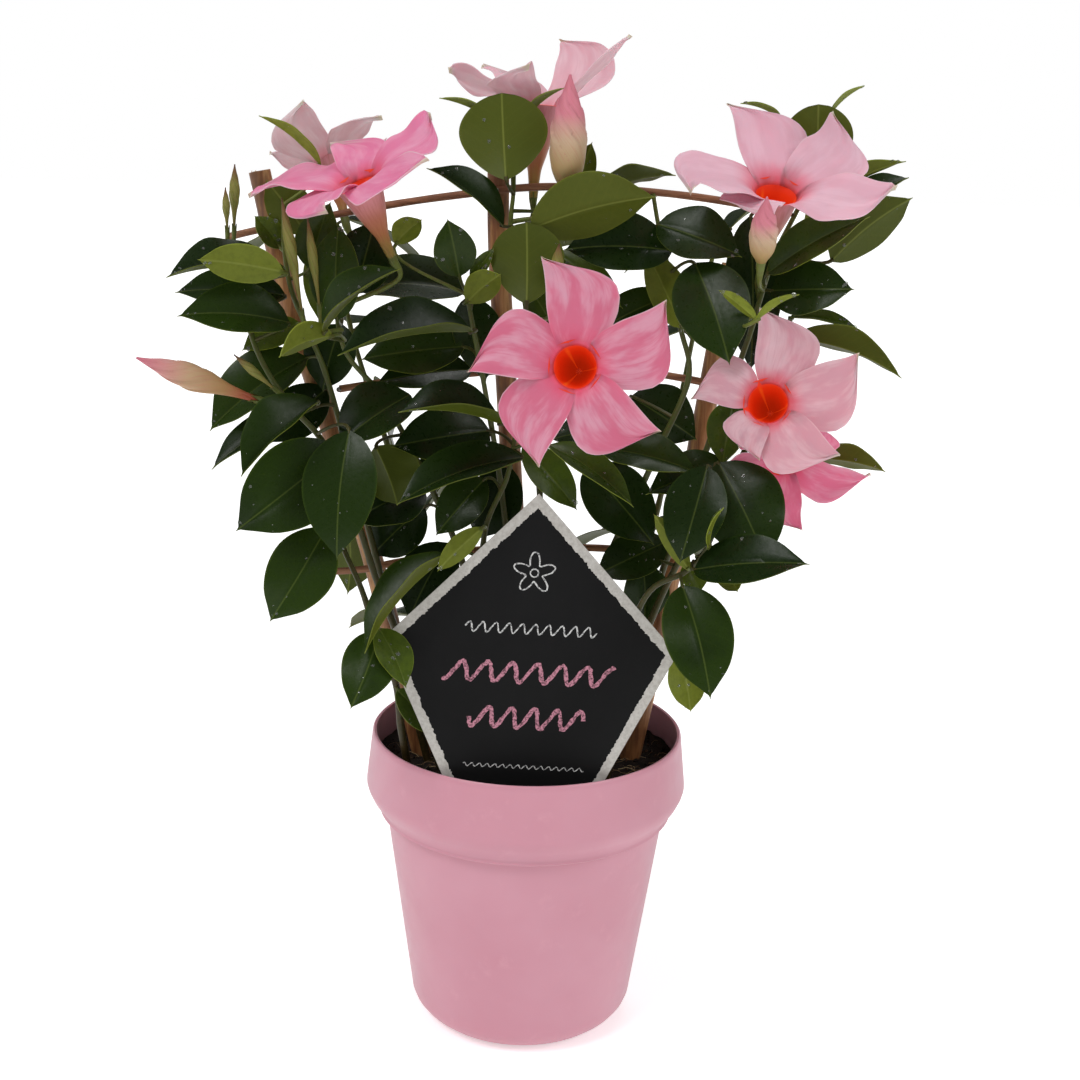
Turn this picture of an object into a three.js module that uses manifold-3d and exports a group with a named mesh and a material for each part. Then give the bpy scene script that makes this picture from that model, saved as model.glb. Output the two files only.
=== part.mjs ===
// A mandevilla in its pot: a climbing plant on a fan trellis of canes, with a stick-in label.
// Millimetres, +Z up, the pot's axis on Z and its foot on z = 0. The display side faces -Y.
import * as THREE from 'three';
import { mergeVertices } from 'three/addons/utils/BufferGeometryUtils.js';
import Module from 'manifold-3d';

const wasm = await Module();
wasm.setup();

// ---------------------------------------------------------------- driving dimensions
const GAP = 0.3;                 // clearance between pieces that touch
const SMALLEST_DETAIL = 0.04;    // splinters of the joints finer than this are smoothed away

const POT_WALL = 2;
const POT_FLOOR = 2.5;
const POT_SEGMENTS = 24;
const POT_FOOT_R = 51;           // flat ring the pot stands on
const POT_BASE_R = 62.5;
const POT_FOOT_CURVE = 12;       // radius between the foot and the wall
const POT_LIP_Z = 121.6;         // underside of the collar
const POT_WALL_TOP_R = 77.4;
const POT_LIP_R = 79;
const POT_COLLAR_R = 88.5;       // widest place of the collar
const POT_COLLAR_Z = 138;
const POT_RIM_R = 85;
const POT_RIM_Z = 167;
const DRAIN_HOLES = 4;
const DRAIN_R = 5;
const DRAIN_CIRCLE_R = 34;

const SOIL_Z = 150;              // level of the soil at the wall
const SOIL_MOUND = 4;            // how much higher it stands in the middle

const STAKE_R = 5.8;
const ROD_R = 2;
const ROD_Y = -(STAKE_R + ROD_R + GAP);
const NAIL_HEAD_R = 1.5;
const NAIL_SHANK_R = 0.55;
const NAIL_LENGTH = 9;

const LABEL_THICK = 1;
const LABEL_SPIKE_HALF = 7;
const LABEL_LEAN = 0.03;         // leans back by this much of its height
const LABEL_Y = -66;             // where its face crosses the rim's height
const LABEL_TURN = THREE.MathUtils.degToRad(-1.75);
const LABEL_CENTRE_Z = 234;      // height of its widest place
const LABEL_HALF_WIDTH = 74;
const LABEL_PEAK = 78;
const LABEL_FOOT_HALF = 34;
const LABEL_FOOT_DROP = 86;
const LABEL_SPIKE_DROP = 130;

const STEM_R = 2.3;
const STEM_TIP_R = 1.1;
const STEM_SIDES = 4;
const STEM_STEP = 28;
const LEAF_THICK = 0.9;
const STALK_HALF = 1;
const STALK_THICK = 1.6;
const PETAL_THICK = 0.8;

// Places on the plant are given as they are seen from the display side: x and z where the
// line of sight from VIEW_POINT crosses the upright plane y = 0, then the real depth y.
const VIEW_POINT = new THREE.Vector3(0, -783, 466.5);

function place(x, z, y) {
  const onPlane = new THREE.Vector3(x, 0, z);
  const reach = (y - VIEW_POINT.y) / -VIEW_POINT.y;
  return onPlane.sub(VIEW_POINT).multiplyScalar(reach).add(VIEW_POINT);
}

// ---------------------------------------------------------------- what stands where
// stakes: x, z, y from the top down to the end in the soil
const STAKES = {
  left: [[-143, 462, 0], [-129, 398, 0], [-114, 350, 0], [-88, 269, 0], [-76, 222, 0], [-56, 140, 0], [-47, 100, 0]],
  centre: [[-22, 472, 0], [-21, 430, 0], [-15, 350, 0], [-9, 270, 0], [-3, 140, 0], [-2, 100, 0]],
  right: [[99.5, 422, 0], [92, 366, 0], [86, 322, 0], [72, 236, 0], [64, 185, 0], [56, 140, 0], [49, 100, 0]],
};
// cross rods: x, z, from the left cut end to the right one
const RODS = {
  top: [[-159, 429], [-143, 433], [-77, 447], [-41, 453], [0, 458], [56, 457], [96, 453], [112, 450]],
  middle: [[-103, 352], [-84, 355.5], [-61, 358.5], [-34, 362], [0, 365.5], [40, 366.5], [80, 362], [100, 358]],
  lower: [[-109, 252.5], [-90, 254.5], [-72, 259], [-40, 265.5], [0, 269], [40, 269.5], [69, 267.5], [85, 265]],
};

// stems: x, z, y from the soil upwards
const SHOOTS = {
  left_rear: [[-47, 112, -12], [-66, 190, -15], [-84, 262, -18], [-98, 315, -18], [-111, 362, -20],
    [-121, 386, -26], [-128, 404, -27], [-131, 425, -24], [-131, 447, -20]],
  left_front: [[-40, 112, -20], [-62, 190, -27], [-84, 250, -32], [-97, 290, -36], [-113, 325, -42],
    [-131, 345, -46], [-146, 371, -46], [-153, 400, -40], [-157, 428, -32]],
  left_low: [[-62, 118, -34], [-70, 165, -44], [-73, 190, -48], [-83, 216, -50], [-92, 244, -48],
    [-103, 270, -40], [-110, 296, -32]],
  centre_front: [[-20, 112, -38], [-25, 170, -42], [-26, 230, -46], [-25, 279, -50], [-14, 308, -46],
    [-10, 332, -42]],
  centre_left: [[-14, 112, -16], [-22, 190, -22], [-38, 262, -28], [-62, 315, -30], [-82, 350, -32],
    [-100, 372, -38], [-105, 395, -36]],
  centre_high: [[-6, 112, -22], [-8, 220, -22], [-17, 300, -24], [-27, 355, -30], [-34, 388, -36],
    [-37, 404, -38]],
  centre_tall: [[6, 112, -18], [6, 250, -20], [1, 330, -20], [-7, 400, -24], [-15, 436, -26], [-14, 455, -26]],
  right_inner: [[20, 112, -16], [34, 240, -20], [64, 320, -24], [80, 365, -30], [75, 386, -34],
    [70, 402, -34], [66, 420, -28], [60, 442, -20], [57, 456, -16]],
  right_tall: [[40, 112, -18], [72, 262, -16], [96, 340, -22], [110, 385, -34], [114, 402, -40],
    [120, 425, -34], [133, 455, -22], [144, 484, -18]],
  right_front: [[34, 112, -30], [66, 230, -30], [92, 290, -34], [112, 326, -36], [124, 358, -34],
    [130, 384, -38], [131, 396, -40]],
  right_low: [[42, 112, -42], [49, 170, -54], [56, 226, -60], [66, 248, -64], [84, 258, -68], [94, 271, -72],
    [98, 281, -74]],
  back_left: [[-30, 112, 18], [-52, 220, 30], [-74, 310, 38], [-96, 380, 36], [-108, 440, 30]],
  back_right: [[30, 112, 20], [52, 220, 32], [70, 310, 40], [82, 390, 38], [92, 440, 30]],
};

// leaves: name of the shoot, blade base x z y, blade tip x z y, width, lift, fold
// lift turns the upper face: 0 to the display side, 90 to the sky, 180 shows the underside.
// fold raises the two halves of the blade out of flat, in degrees.
const LEAVES = [
  // left, from the top down
  ['left_rear', -112, 466, -26, -142.5, 489.5, -34, 13, 110, 20],
  ['left_rear', -120, 432, -12, -140, 458, -8, 24, 165, 12],
  ['left_rear', -118, 414, -32, -107, 448, -36, 22, 10, 20],
  ['left_rear', -133, 424, -14, -146, 440, -10, 14, 20, 20],
  ['left_front', -131, 411, -20, -192, 408, -48, 36, 70, 36],
  ['left_front', -132, 412, -52, -176, 417, -60, 19, 165, 10],
  ['left_front', -131, 400, -38, -188, 400, -56, 24, 30, 25],
  ['left_front', -129, 386, -52, -187, 388, -72, 32, 35, 25],
  ['centre_left', -107, 380, -56, -135, 368, -82, 20, 130, 25],
  ['left_rear', -120, 368, -32, -172, 328, -60, 38, 40, 25],
  ['left_rear', -117, 342, -30, -171.5, 307.5, -56, 27, 60, 20],
  ['left_front', -114, 345, -56, -156, 304, -84, 36, 46, 44],
  ['left_rear', -103, 320, -46, -159.5, 273.5, -66, 43, 10, 10],
  ['left_front', -98, 330, -62, -105, 259, -82, 37, 10, 12],
  ['left_low', -111, 276, -50, -142, 223, -66, 34, 5, 8],
  ['back_left', -100, 286, 16, -99, 240, 24, 34, 150, 12],
  ['left_low', -82, 219, -62, -98, 174, -82, 27, 0, 6],
  ['left_low', -82, 221, -54, -67, 187, -58, 19, 20, 15],
  ['left_low', -72, 186, -52, -50, 160, -56, 18, 20, 15],
  // left of the middle
  ['centre_left', -104, 388, -46, -103, 438, -50, 26, 8, 18],
  ['centre_left', -94, 402, -28, -84, 440, -26, 30, 12, 15],
  ['centre_left', -111, 382, -62, -71.5, 415.5, -80, 27, 58, 44],
  ['centre_high', -74, 428, -30, -60.5, 440.5, -34, 15, 150, 15],
  ['centre_high', -38, 404, -30, -98, 404, -40, 42, 56, 15],
  ['centre_high', -41, 412, -52, -47.5, 441, -56, 21, 0, 12],
  ['centre_high', -35, 411, -50, -23.5, 427, -52, 8, 10, 20],
  ['centre_high', -37, 399, -56, -19.5, 414, -64, 17, 165, 20],
  ['centre_high', -34, 384, -54, -104, 370, -84, 40, 60, 42],
  ['centre_front', -18, 336, -60, -72, 341, -90, 35, 64, 42],
  ['centre_left', -84, 322, -40, -72, 290, -52, 34, 150, 20],
  ['centre_front', -6, 318, -54, -73, 291, -80, 31, 48, 28],
  ['centre_left', -66, 350, -22, -104, 322, -30, 38, 40, 18],
  ['centre_high', -24, 330, -14, -62, 306, -20, 36, 30, 15],
  ['centre_left', -58, 300, -16, -98, 280, -20, 36, 30, 15],
  ['centre_left', -44, 270, -12, -66, 226, -20, 34, 20, 12],
  ['centre_front', -27, 279, -62, -51, 254, -76, 12, 168, 15],
  ['centre_front', -44, 264, -66, -90.5, 207, -96, 34, 66, 42],
  // middle
  ['centre_tall', -19, 438, -30, -58, 466, -38, 25, 55, 34],
  ['centre_tall', -18, 461, -34, -21, 503, -24, 44, 178, 8],
  ['centre_tall', -22, 488, -14, -52, 500.5, -24, 12, 100, 20],
  ['centre_tall', -10, 490, -8, 10, 507, -10, 12, 100, 20],
  ['centre_tall', -5, 437, -50, 59, 455, -52, 36, 150, 14],
  ['centre_tall', -6, 399, -54, -7, 440, -44, 36, 178, 10],
  ['right_inner', 30, 455, -14, 68, 466, -20, 26, 112, 15],
  ['right_inner', 68, 428, -34, 12, 427, -44, 34, 30, 18],
  ['right_inner', 60, 441, -34, 104, 426, -52, 31, 32, 15],
  ['right_inner', 75, 389, -42, 54, 430, -36, 22, 165, 22],
  ['right_inner', 80, 422, -46, 101, 370, -70, 37, 5, 10],
  ['right_inner', 36, 324, -46, 88, 312, -70, 25, 36, 22],
  ['centre_front', 8, 325, -56, 54, 293, -76, 20, 42, 25],
  ['centre_tall', -6, 324, -28, 24, 290, -34, 21, 20, 15],
  ['right_inner', 28, 314, -16, 66, 272, -24, 36, 20, 12],
  ['right_inner', 50, 352, -16, 86, 330, -22, 34, 25, 12],
  // right, from the top down
  ['right_tall', 140, 463, -24, 138, 502, -22, 35, 178, 12],
  ['right_tall', 119.5, 495, -16, 99, 502, -22, 9, 100, 20],
  ['right_tall', 144, 498, -16, 160, 512, -20, 9, 95, 20],
  ['right_tall', 140, 452, -30, 184, 476, -50, 19, 118, 20],
  ['right_tall', 152, 444, -20, 186, 468, -36, 26, 60, 22],
  ['right_tall', 136, 440, -34, 154, 461, -34, 13, 150, 15],
  ['right_tall', 118, 418, -50, 168, 448, -66, 24, 34, 24],
  ['right_tall', 120, 409, -44, 163, 411, -66, 28, 20, 12],
  ['right_tall', 113.5, 394, -64, 93, 409, -72, 7, 150, 25],
  ['right_tall', 113.5, 394, -64, 134.5, 408, -70, 7, 120, 25],
  ['right_front', 131, 396, -46, 167, 390.5, -60, 12, 62, 20],
  ['right_front', 134, 385, -50, 191.5, 366, -72, 27, 118, 24],
  ['right_front', 148, 322, -36, 187, 316, -52, 20, 128, 20],
  ['right_front', 104, 352, -22, 100, 316, -28, 22, 15, 15],
  ['right_front', 104, 316, -44, 60, 300, -64, 27, 32, 20],
  ['right_low', 98, 318, -54, 128, 262, -74, 42, 5, 8],
  ['right_low', 92, 316, -58, 80, 262, -70, 31, 8, 12],
  ['right_low', 85, 259, -78, 64.5, 289.5, -92, 11, 172, 20],
  ['right_low', 95, 272, -78, 101.5, 294, -90, 6, 90, 30],
  ['right_low', 88, 259, -82, 150, 264, -108, 30, 36, 18],
  ['right_low', 100, 267, -58, 112.5, 247, -72, 20, 150, 15],
  ['right_low', 82, 250, -76, 101, 185, -100, 35, 10, 10],
  ['right_low', 84, 215, -64, 90.5, 177, -80, 20, 172, 15],
  ['right_front', 60, 262, -22, 62, 226, -30, 26, 20, 12],
  // leaves seen through the front ones
  ['centre_high', -38, 376, -18, -92, 368, -22, 30, 30, 12],
  ['centre_high', -34, 364, -6, -84, 356, -14, 26, 40, 12],
  ['centre_left', -102, 386, -10, -112, 350, -16, 28, 15, 12],
  ['centre_front', -24, 332, -30, -76, 322, -40, 32, 24, 12],
  ['centre_left', -58, 290, -12, -86, 262, -18, 32, 20, 12],
  ['centre_front', -26, 306, -30, -52, 274, -40, 24, 15, 12],
  ['centre_high', -12, 312, -12, -30, 272, -16, 30, 10, 12],
  ['right_inner', 58, 334, -12, 8, 328, -16, 32, 35, 12],
  ['right_inner', 72, 274, -18, 34, 254, -24, 26, 15, 12],
  ['right_low', 84, 263, -54, 92, 246, -60, 15, 15, 12],
  ['right_tall', 150, 425, -30, 189, 458, -46, 28, 150, 12],
  ['right_inner', 68, 405, -14, 26, 382, -20, 22, 15, 12],
  ['right_tall', 107, 446, -14, 112, 366, -20, 30, 10, 12],
  ['left_rear', -124, 386, -12, -154, 371, -20, 18, 30, 12],
  ['left_rear', -114, 424, -14, -113, 386, -20, 18, 10, 12],
  ['left_rear', -110, 352, -8, -140, 322, -16, 28, 20, 12],
  ['centre_high', -36, 402, -14, -26, 358, -20, 27, 15, 12],
  ['centre_tall', -4, 406, -20, 14, 376, -24, 20, 15, 12],
  ['centre_tall', 8, 425, -12, 44, 398, -18, 17, 20, 12],
  ['centre_tall', -6, 428, -10, 44, 442, -14, 26, 130, 12],
  ['centre_tall', 19, 452, -12, 25, 481, -14, 15, 160, 12],
];

// leaves of the far side stand in pairs on the stems listed here, by a seeded rule
const REAR_STEMS = ['back_left', 'back_right'];
const REAR_PAIRS = 5;
const REAR_FIRST = 0.32;         // share of the stem below the first pair
const REAR_LENGTH = 58;
const REAR_WIDTH = 0.56;         // of the length
const REAR_SEED = 7;

// blooms: shoot, mouth of the tube x z y, axis out of the mouth, turn of the first lobe, size, flare,
// then for each lobe, counter-clockwise, its reach, its bend and how far it swings round
const BLOOMS = {
  front: ['centre_front', 20, 367, -98, [-0.1, -0.97, 0.2], 16, 1, 84,
    [[0.97, 0], [0.98, 0], [0.92, 0, 4], [0.92, 0], [0.94, 0]]],
  right: ['right_front', 122, 351, -74, [-0.2, -0.92, 0.34], 16, 0.95, 72,
    [[0.97, 0, -8], [0.88, -6, -12], [0.68, 10], [0.5, 60, 10], [0.85, 40]]],
  low_right: ['right_front', 133, 320, -50, [0.06, -0.85, -0.5], -20, 0.78, 70,
    [[1.05, 0], [0.8, 0], [0.8, 0], [0.9, 0], [1, 0]]],
  top_right: ['right_tall', 120, 459, -54, [0.06, -0.52, 0.85], -36, 0.98, 64,
    [[1.1, 14, 0], [1.05, -10, -10, 1.05], [0.98, -34, -18, 1.2], [1.22, 0, 8, 1.2], [0.8, 26, -22]]],
  top: ['centre_tall', -3, 496, 6, [0.02, 0.1, 0.99], 0, 1, 50,
    [[0.95, 42, 8], [0.75, 36, 0, 0.9], [1.28, -22, 24, 0.5], [1.27, -46, 18, 0.9], [0.98, -8, 12]]],
  left: ['centre_left', -93, 458, -60, [-0.36, -0.34, 0.87], -12, 0.95, 72,
    [[1, 16], [1, 12], [0.75, 0], [1, -2, -4, 1.3], [0.85, 24, 0, 1.3]]],
  left_rear: ['left_rear', -106, 467, 16, [-0.25, 0.42, 0.87], 30, 0.78, 60,
    [[1.05, -8], [0.85, 14], [0.9, 0], [0.9, 0], [0.75, 20]]],
};

// closed flowers: shoot, base x z y, tip x z y, thickness
const BUDS = {
  left: ['left_front', -143, 344, -54, -209, 365.5, -78, 13.5],
  left_small: ['left_front', -136, 350, -56, -158, 368.5, -64, 4.6],
  tall_a: ['left_front', -156.5, 432, -32, -155.5, 465, -32, 5.6],
  tall_b: ['left_front', -160, 431, -38, -160.5, 453.5, -38, 4],
  slender_a: ['left_rear', -122, 390, -56, -132, 449, -62, 6],
  slender_b: ['centre_left', -113, 393, -52, -119, 440, -54, 5],
  middle: ['centre_tall', 13, 457, -38, 13, 513, -38, 18.5],
  middle_small: ['centre_tall', 8, 404, -58, 10, 430, -60, 6.5],
  right: ['right_tall', 114, 424, -70, 115, 456, -86, 13],
};

// ---------------------------------------------------------------- solids
function signedVolume(geometry) {
  const corners = [0, 1, 2].map(() => new THREE.Vector3());
  const { array } = geometry.index;
  let volume = 0;
  for (let i = 0; i < array.length; i += 3) {
    corners.forEach((corner, k) => corner.fromBufferAttribute(geometry.attributes.position, array[i + k]));
    volume += corners[0].dot(corners[1].cross(corners[2])) / 6;
  }
  return volume;
}

function solidOf(geometry) {
  geometry.deleteAttribute('normal');
  geometry.deleteAttribute('uv');
  const merged = mergeVertices(geometry, 1e-4);
  const index = merged.index.array;
  const inward = signedVolume(merged) < 0;
  const triVerts = [];
  for (let i = 0; i < index.length; i += 3) {
    const [a, b, c] = [index[i], index[i + 1], index[i + 2]];
    if (a !== b && b !== c && c !== a) triVerts.push(...(inward ? [a, c, b] : [a, b, c]));
  }
  return new wasm.Manifold(new wasm.Mesh({
    numProp: 3,
    vertProperties: new Float32Array(merged.attributes.position.array),
    triVerts: new Uint32Array(triVerts),
  }));
}

function geometryOf(solid) {
  const { vertProperties, triVerts } = solid.getMesh();
  const geometry = new THREE.BufferGeometry();
  geometry.setAttribute('position', new THREE.BufferAttribute(new Float32Array(vertProperties), 3));
  geometry.setIndex(new THREE.BufferAttribute(new Uint32Array(triVerts), 1));
  return geometry;
}

// one body of a joined solid: sealed hollows are filled and loose scraps dropped
function mainBody(solid) {
  const bodies = solid.decompose();
  return bodies.reduce((best, body) => (body.volume() > best.volume() ? body : best));
}

// skin over rings of equal count, both ends capped; the quads of the columns listed in
// crossed are split along their other diagonal
function loft(rings, crossed = []) {
  const count = rings[0].length;
  const positions = rings.flat().flatMap((p) => [p.x, p.y, p.z]);
  const faces = [];
  for (let r = 0; r + 1 < rings.length; r += 1) {
    for (let i = 0; i < count; i += 1) {
      const a = r * count + i;
      const b = r * count + ((i + 1) % count);
      const c = a + count;
      const d = b + count;
      if (crossed.includes(i)) faces.push(a, b, c, b, d, c);
      else faces.push(a, b, d, a, d, c);
    }
  }
  const last = (rings.length - 1) * count;
  for (let i = 1; i + 1 < count; i += 1) {
    faces.push(0, i + 1, i);
    faces.push(last, last + i, last + i + 1);
  }
  const geometry = new THREE.BufferGeometry();
  geometry.setAttribute('position', new THREE.Float32BufferAttribute(positions, 3));
  geometry.setIndex(faces);
  return solidOf(geometry);
}

// round rod along a smooth curve through points; radius is a function of 0 to 1
function rod(points, sides, steps, radius) {
  const curve = new THREE.CatmullRomCurve3(points);
  const frames = curve.computeFrenetFrames(steps);
  const rings = [];
  for (let s = 0; s <= steps; s += 1) {
    const centre = curve.getPointAt(s / steps);
    const ring = [];
    for (let i = 0; i < sides; i += 1) {
      const angle = (i / sides) * Math.PI * 2;
      const out = frames.normals[s].clone().multiplyScalar(Math.cos(angle));
      out.addScaledVector(frames.binormals[s], Math.sin(angle));
      ring.push(centre.clone().addScaledVector(out, radius(s / steps)));
    }
    rings.push(ring);
  }
  return loft(rings);
}

function turned(profile, segments) {
  const points = profile.map(([r, z]) => new THREE.Vector2(r, z));
  const geometry = new THREE.LatheGeometry(points, segments);
  geometry.rotateX(Math.PI / 2);
  return solidOf(geometry);
}

function arc(centreR, centreZ, radius, fromDeg, toDeg, steps) {
  const points = [];
  for (let s = 0; s <= steps; s += 1) {
    const angle = THREE.MathUtils.degToRad(fromDeg + ((toDeg - fromDeg) * s) / steps);
    points.push([centreR + radius * Math.cos(angle), centreZ + radius * Math.sin(angle)]);
  }
  return points;
}

// ---------------------------------------------------------------- pot and soil
function potOutside() {
  return [
    [0, 0], [POT_FOOT_R, 0],
    ...arc(POT_BASE_R - POT_FOOT_CURVE, POT_FOOT_CURVE, POT_FOOT_CURVE, -65, -5, 2),
    [POT_WALL_TOP_R, POT_LIP_Z],
    [POT_LIP_R, POT_LIP_Z],
    [POT_LIP_R + 2.6, POT_LIP_Z + 2.4],
    [POT_COLLAR_R - 2.6, POT_COLLAR_Z - 7.4],
    [POT_COLLAR_R, POT_COLLAR_Z],
    [POT_RIM_R + 0.6, POT_RIM_Z - 3],
    [POT_RIM_R - 0.4, POT_RIM_Z],
  ];
}

function potInside(clear) {
  const wall = POT_WALL + clear;
  return [
    [POT_RIM_R - wall + 0.4, POT_RIM_Z],
    [POT_COLLAR_R - wall - 0.6, POT_COLLAR_Z],
    [POT_COLLAR_R - wall - 3.2, POT_COLLAR_Z - 7.4 + wall * 0.4],
    [POT_LIP_R - wall + 2, POT_LIP_Z + 2.4 + wall * 0.4],
    [POT_WALL_TOP_R - wall, POT_LIP_Z - 1],
    ...arc(POT_BASE_R - POT_FOOT_CURVE, POT_FOOT_CURVE, POT_FOOT_CURVE - wall, -5, -60, 1),
  ];
}

function makePot() {
  const profile = [...potOutside(), ...potInside(0), [POT_FOOT_R - 6, POT_FLOOR], [0, POT_FLOOR]];
  let pot = turned(profile, POT_SEGMENTS);
  for (let i = 0; i < DRAIN_HOLES; i += 1) {
    const hole = new THREE.CylinderGeometry(DRAIN_R, DRAIN_R, 4 * POT_FLOOR, 8);
    hole.rotateX(Math.PI / 2);
    const angle = ((i + 0.5) / DRAIN_HOLES) * Math.PI * 2;
    hole.translate(DRAIN_CIRCLE_R * Math.cos(angle), DRAIN_CIRCLE_R * Math.sin(angle), 0);
    pot = pot.subtract(solidOf(hole));
  }
  return pot;
}

function makeSoil(holes) {
  const wall = potInside(GAP);
  const below = wall.filter(([, z]) => z < SOIL_Z).map(([r, z]) => [r, Math.max(z, POT_FLOOR + GAP)]);
  const top = [[0, SOIL_Z + SOIL_MOUND], [55, SOIL_Z + SOIL_MOUND * 0.5]];
  const edgeR = POT_COLLAR_R - POT_WALL - GAP - 1.4;
  const floor = [[POT_FOOT_R - 8, POT_FLOOR + GAP], [0, POT_FLOOR + GAP]];
  let soil = turned([...top, [edgeR, SOIL_Z], ...below, ...floor], POT_SEGMENTS);
  holes.forEach((hole) => { soil = soil.subtract(hole); });
  return mainBody(soil);
}

// ---------------------------------------------------------------- trellis and label
const stakePath = (points) => points.map(([x, z, y]) => place(x, z, y));
const makeStake = (points, clear = 0) => rod(stakePath(points), 8, 4, () => STAKE_R + clear);
const makeRod = (points) => rod(points.map(([x, z]) => place(x, z, ROD_Y)), 6, 6, () => ROD_R);

// crossing of a cross rod and a stake as seen from the display side
function crossing(rodPoints, stakePoints) {
  const rodCurve = new THREE.CatmullRomCurve3(rodPoints.map(([x, z]) => place(x, z, ROD_Y)));
  const stakeCurve = new THREE.CatmullRomCurve3(stakePath(stakePoints));
  let best = null;
  for (let i = 0; i <= 160; i += 1) {
    const onRod = rodCurve.getPointAt(i / 160);
    for (let j = 0; j <= 160; j += 1) {
      const onStake = stakeCurve.getPointAt(j / 160);
      const apart = Math.hypot(onRod.x - onStake.x, onRod.z - onStake.z);
      if (!best || apart < best.apart) best = { apart, onRod };
    }
  }
  return best.onRod;
}

function makeNail(at, clear = 0) {
  const shank = NAIL_SHANK_R + clear;
  const head = clear ? shank : NAIL_HEAD_R;
  const front = clear ? 6 : 0.7;
  const profile = [[0, -NAIL_LENGTH - clear], [shank, -NAIL_LENGTH + 1.5], [shank, 0], [head, 0],
    [head * (clear ? 1 : 0.7), front], [0, front]];
  const points = profile.map(([r, z]) => new THREE.Vector2(r, z));
  const geometry = new THREE.LatheGeometry(points, 4);
  geometry.rotateX(Math.PI);
  geometry.translate(at.x, at.y - ROD_R - GAP, at.z);
  return solidOf(geometry);
}

function makeLabel(clear = 0) {
  const spikeEnd = -LABEL_SPIKE_DROP;
  const half = [[0, LABEL_PEAK], [LABEL_HALF_WIDTH, 0], [LABEL_FOOT_HALF, -LABEL_FOOT_DROP],
    [LABEL_SPIKE_HALF, -LABEL_FOOT_DROP - 2], [LABEL_SPIKE_HALF - 1, spikeEnd + 12], [0, spikeEnd]];
  const grown = half.map(([x, z]) => [x > 0 ? x + clear : 0, z + Math.sign(z) * clear]);
  const outline = [...grown, ...grown.slice(1, -1).reverse().map(([x, z]) => [-x, z])];
  const shape = new THREE.Shape(outline.map(([x, z]) => new THREE.Vector2(x, z)));
  const depth = LABEL_THICK + 2 * clear;
  const geometry = new THREE.ExtrudeGeometry(shape, { depth, bevelEnabled: false });
  geometry.translate(0, 0, -clear);
  geometry.rotateZ(LABEL_TURN);
  geometry.rotateX(Math.PI / 2 - Math.atan(LABEL_LEAN));
  const y = LABEL_Y + (LABEL_CENTRE_Z - POT_RIM_Z) * LABEL_LEAN;
  geometry.translate(0.5, y, LABEL_CENTRE_Z);
  return solidOf(geometry);
}

// ---------------------------------------------------------------- leaves and petals
// half width of a leaf blade along its length: egg-shaped, drawn out to a drip tip
function leafHalf(t, blunt) {
  if (blunt) return Math.max(Math.sin(Math.PI * Math.min(t, 1) ** 1.35), 0) ** 0.5;
  const body = Math.sin(Math.PI * Math.min(t, 1) ** 0.86) ** 0.72;
  const taper = 1 - 0.35 * THREE.MathUtils.smoothstep(t, 0.78, 1);
  return Math.max(body * taper, 0);
}

// six points across a blade: left, middle and right on the upper face, then back underneath;
// halves are its widths to the left and to the right of its middle
function bladeRing(centre, side, face, halves, rise, thick) {
  const left = centre.clone().addScaledVector(side, -halves[0]).addScaledVector(face, rise);
  const right = centre.clone().addScaledVector(side, halves[1]).addScaledVector(face, rise);
  const upper = [left, centre.clone(), right];
  const lower = upper.map((p) => p.clone().addScaledVector(face, -thick)).reverse();
  return [...upper, ...lower];
}

const LOWER_COLUMNS = [3, 4];
const LEAF_STATIONS = [0.18, 0.5, 0.82];
const SMALL_LEAF = 33;           // a narrower leaf has fewer stations
const SMALL_LEAF_STATIONS = [0.26, 0.76];
const LEAF_ARCH = 0.07;
const BLUNT_LIFT = 176;          // the leaf lifted past this shows a blunt heart from underneath

// upper face of a leaf that points along a: lift turns it from the viewer to the sky
function leafFace(base, along, lift) {
  const sight = VIEW_POINT.clone().sub(base);
  sight.addScaledVector(along, -sight.dot(along)).normalize();
  const up = along.clone().cross(sight);
  if (up.z < 0) up.negate();
  const angle = THREE.MathUtils.degToRad(lift);
  return sight.multiplyScalar(Math.cos(angle)).addScaledVector(up, Math.sin(angle));
}

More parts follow.
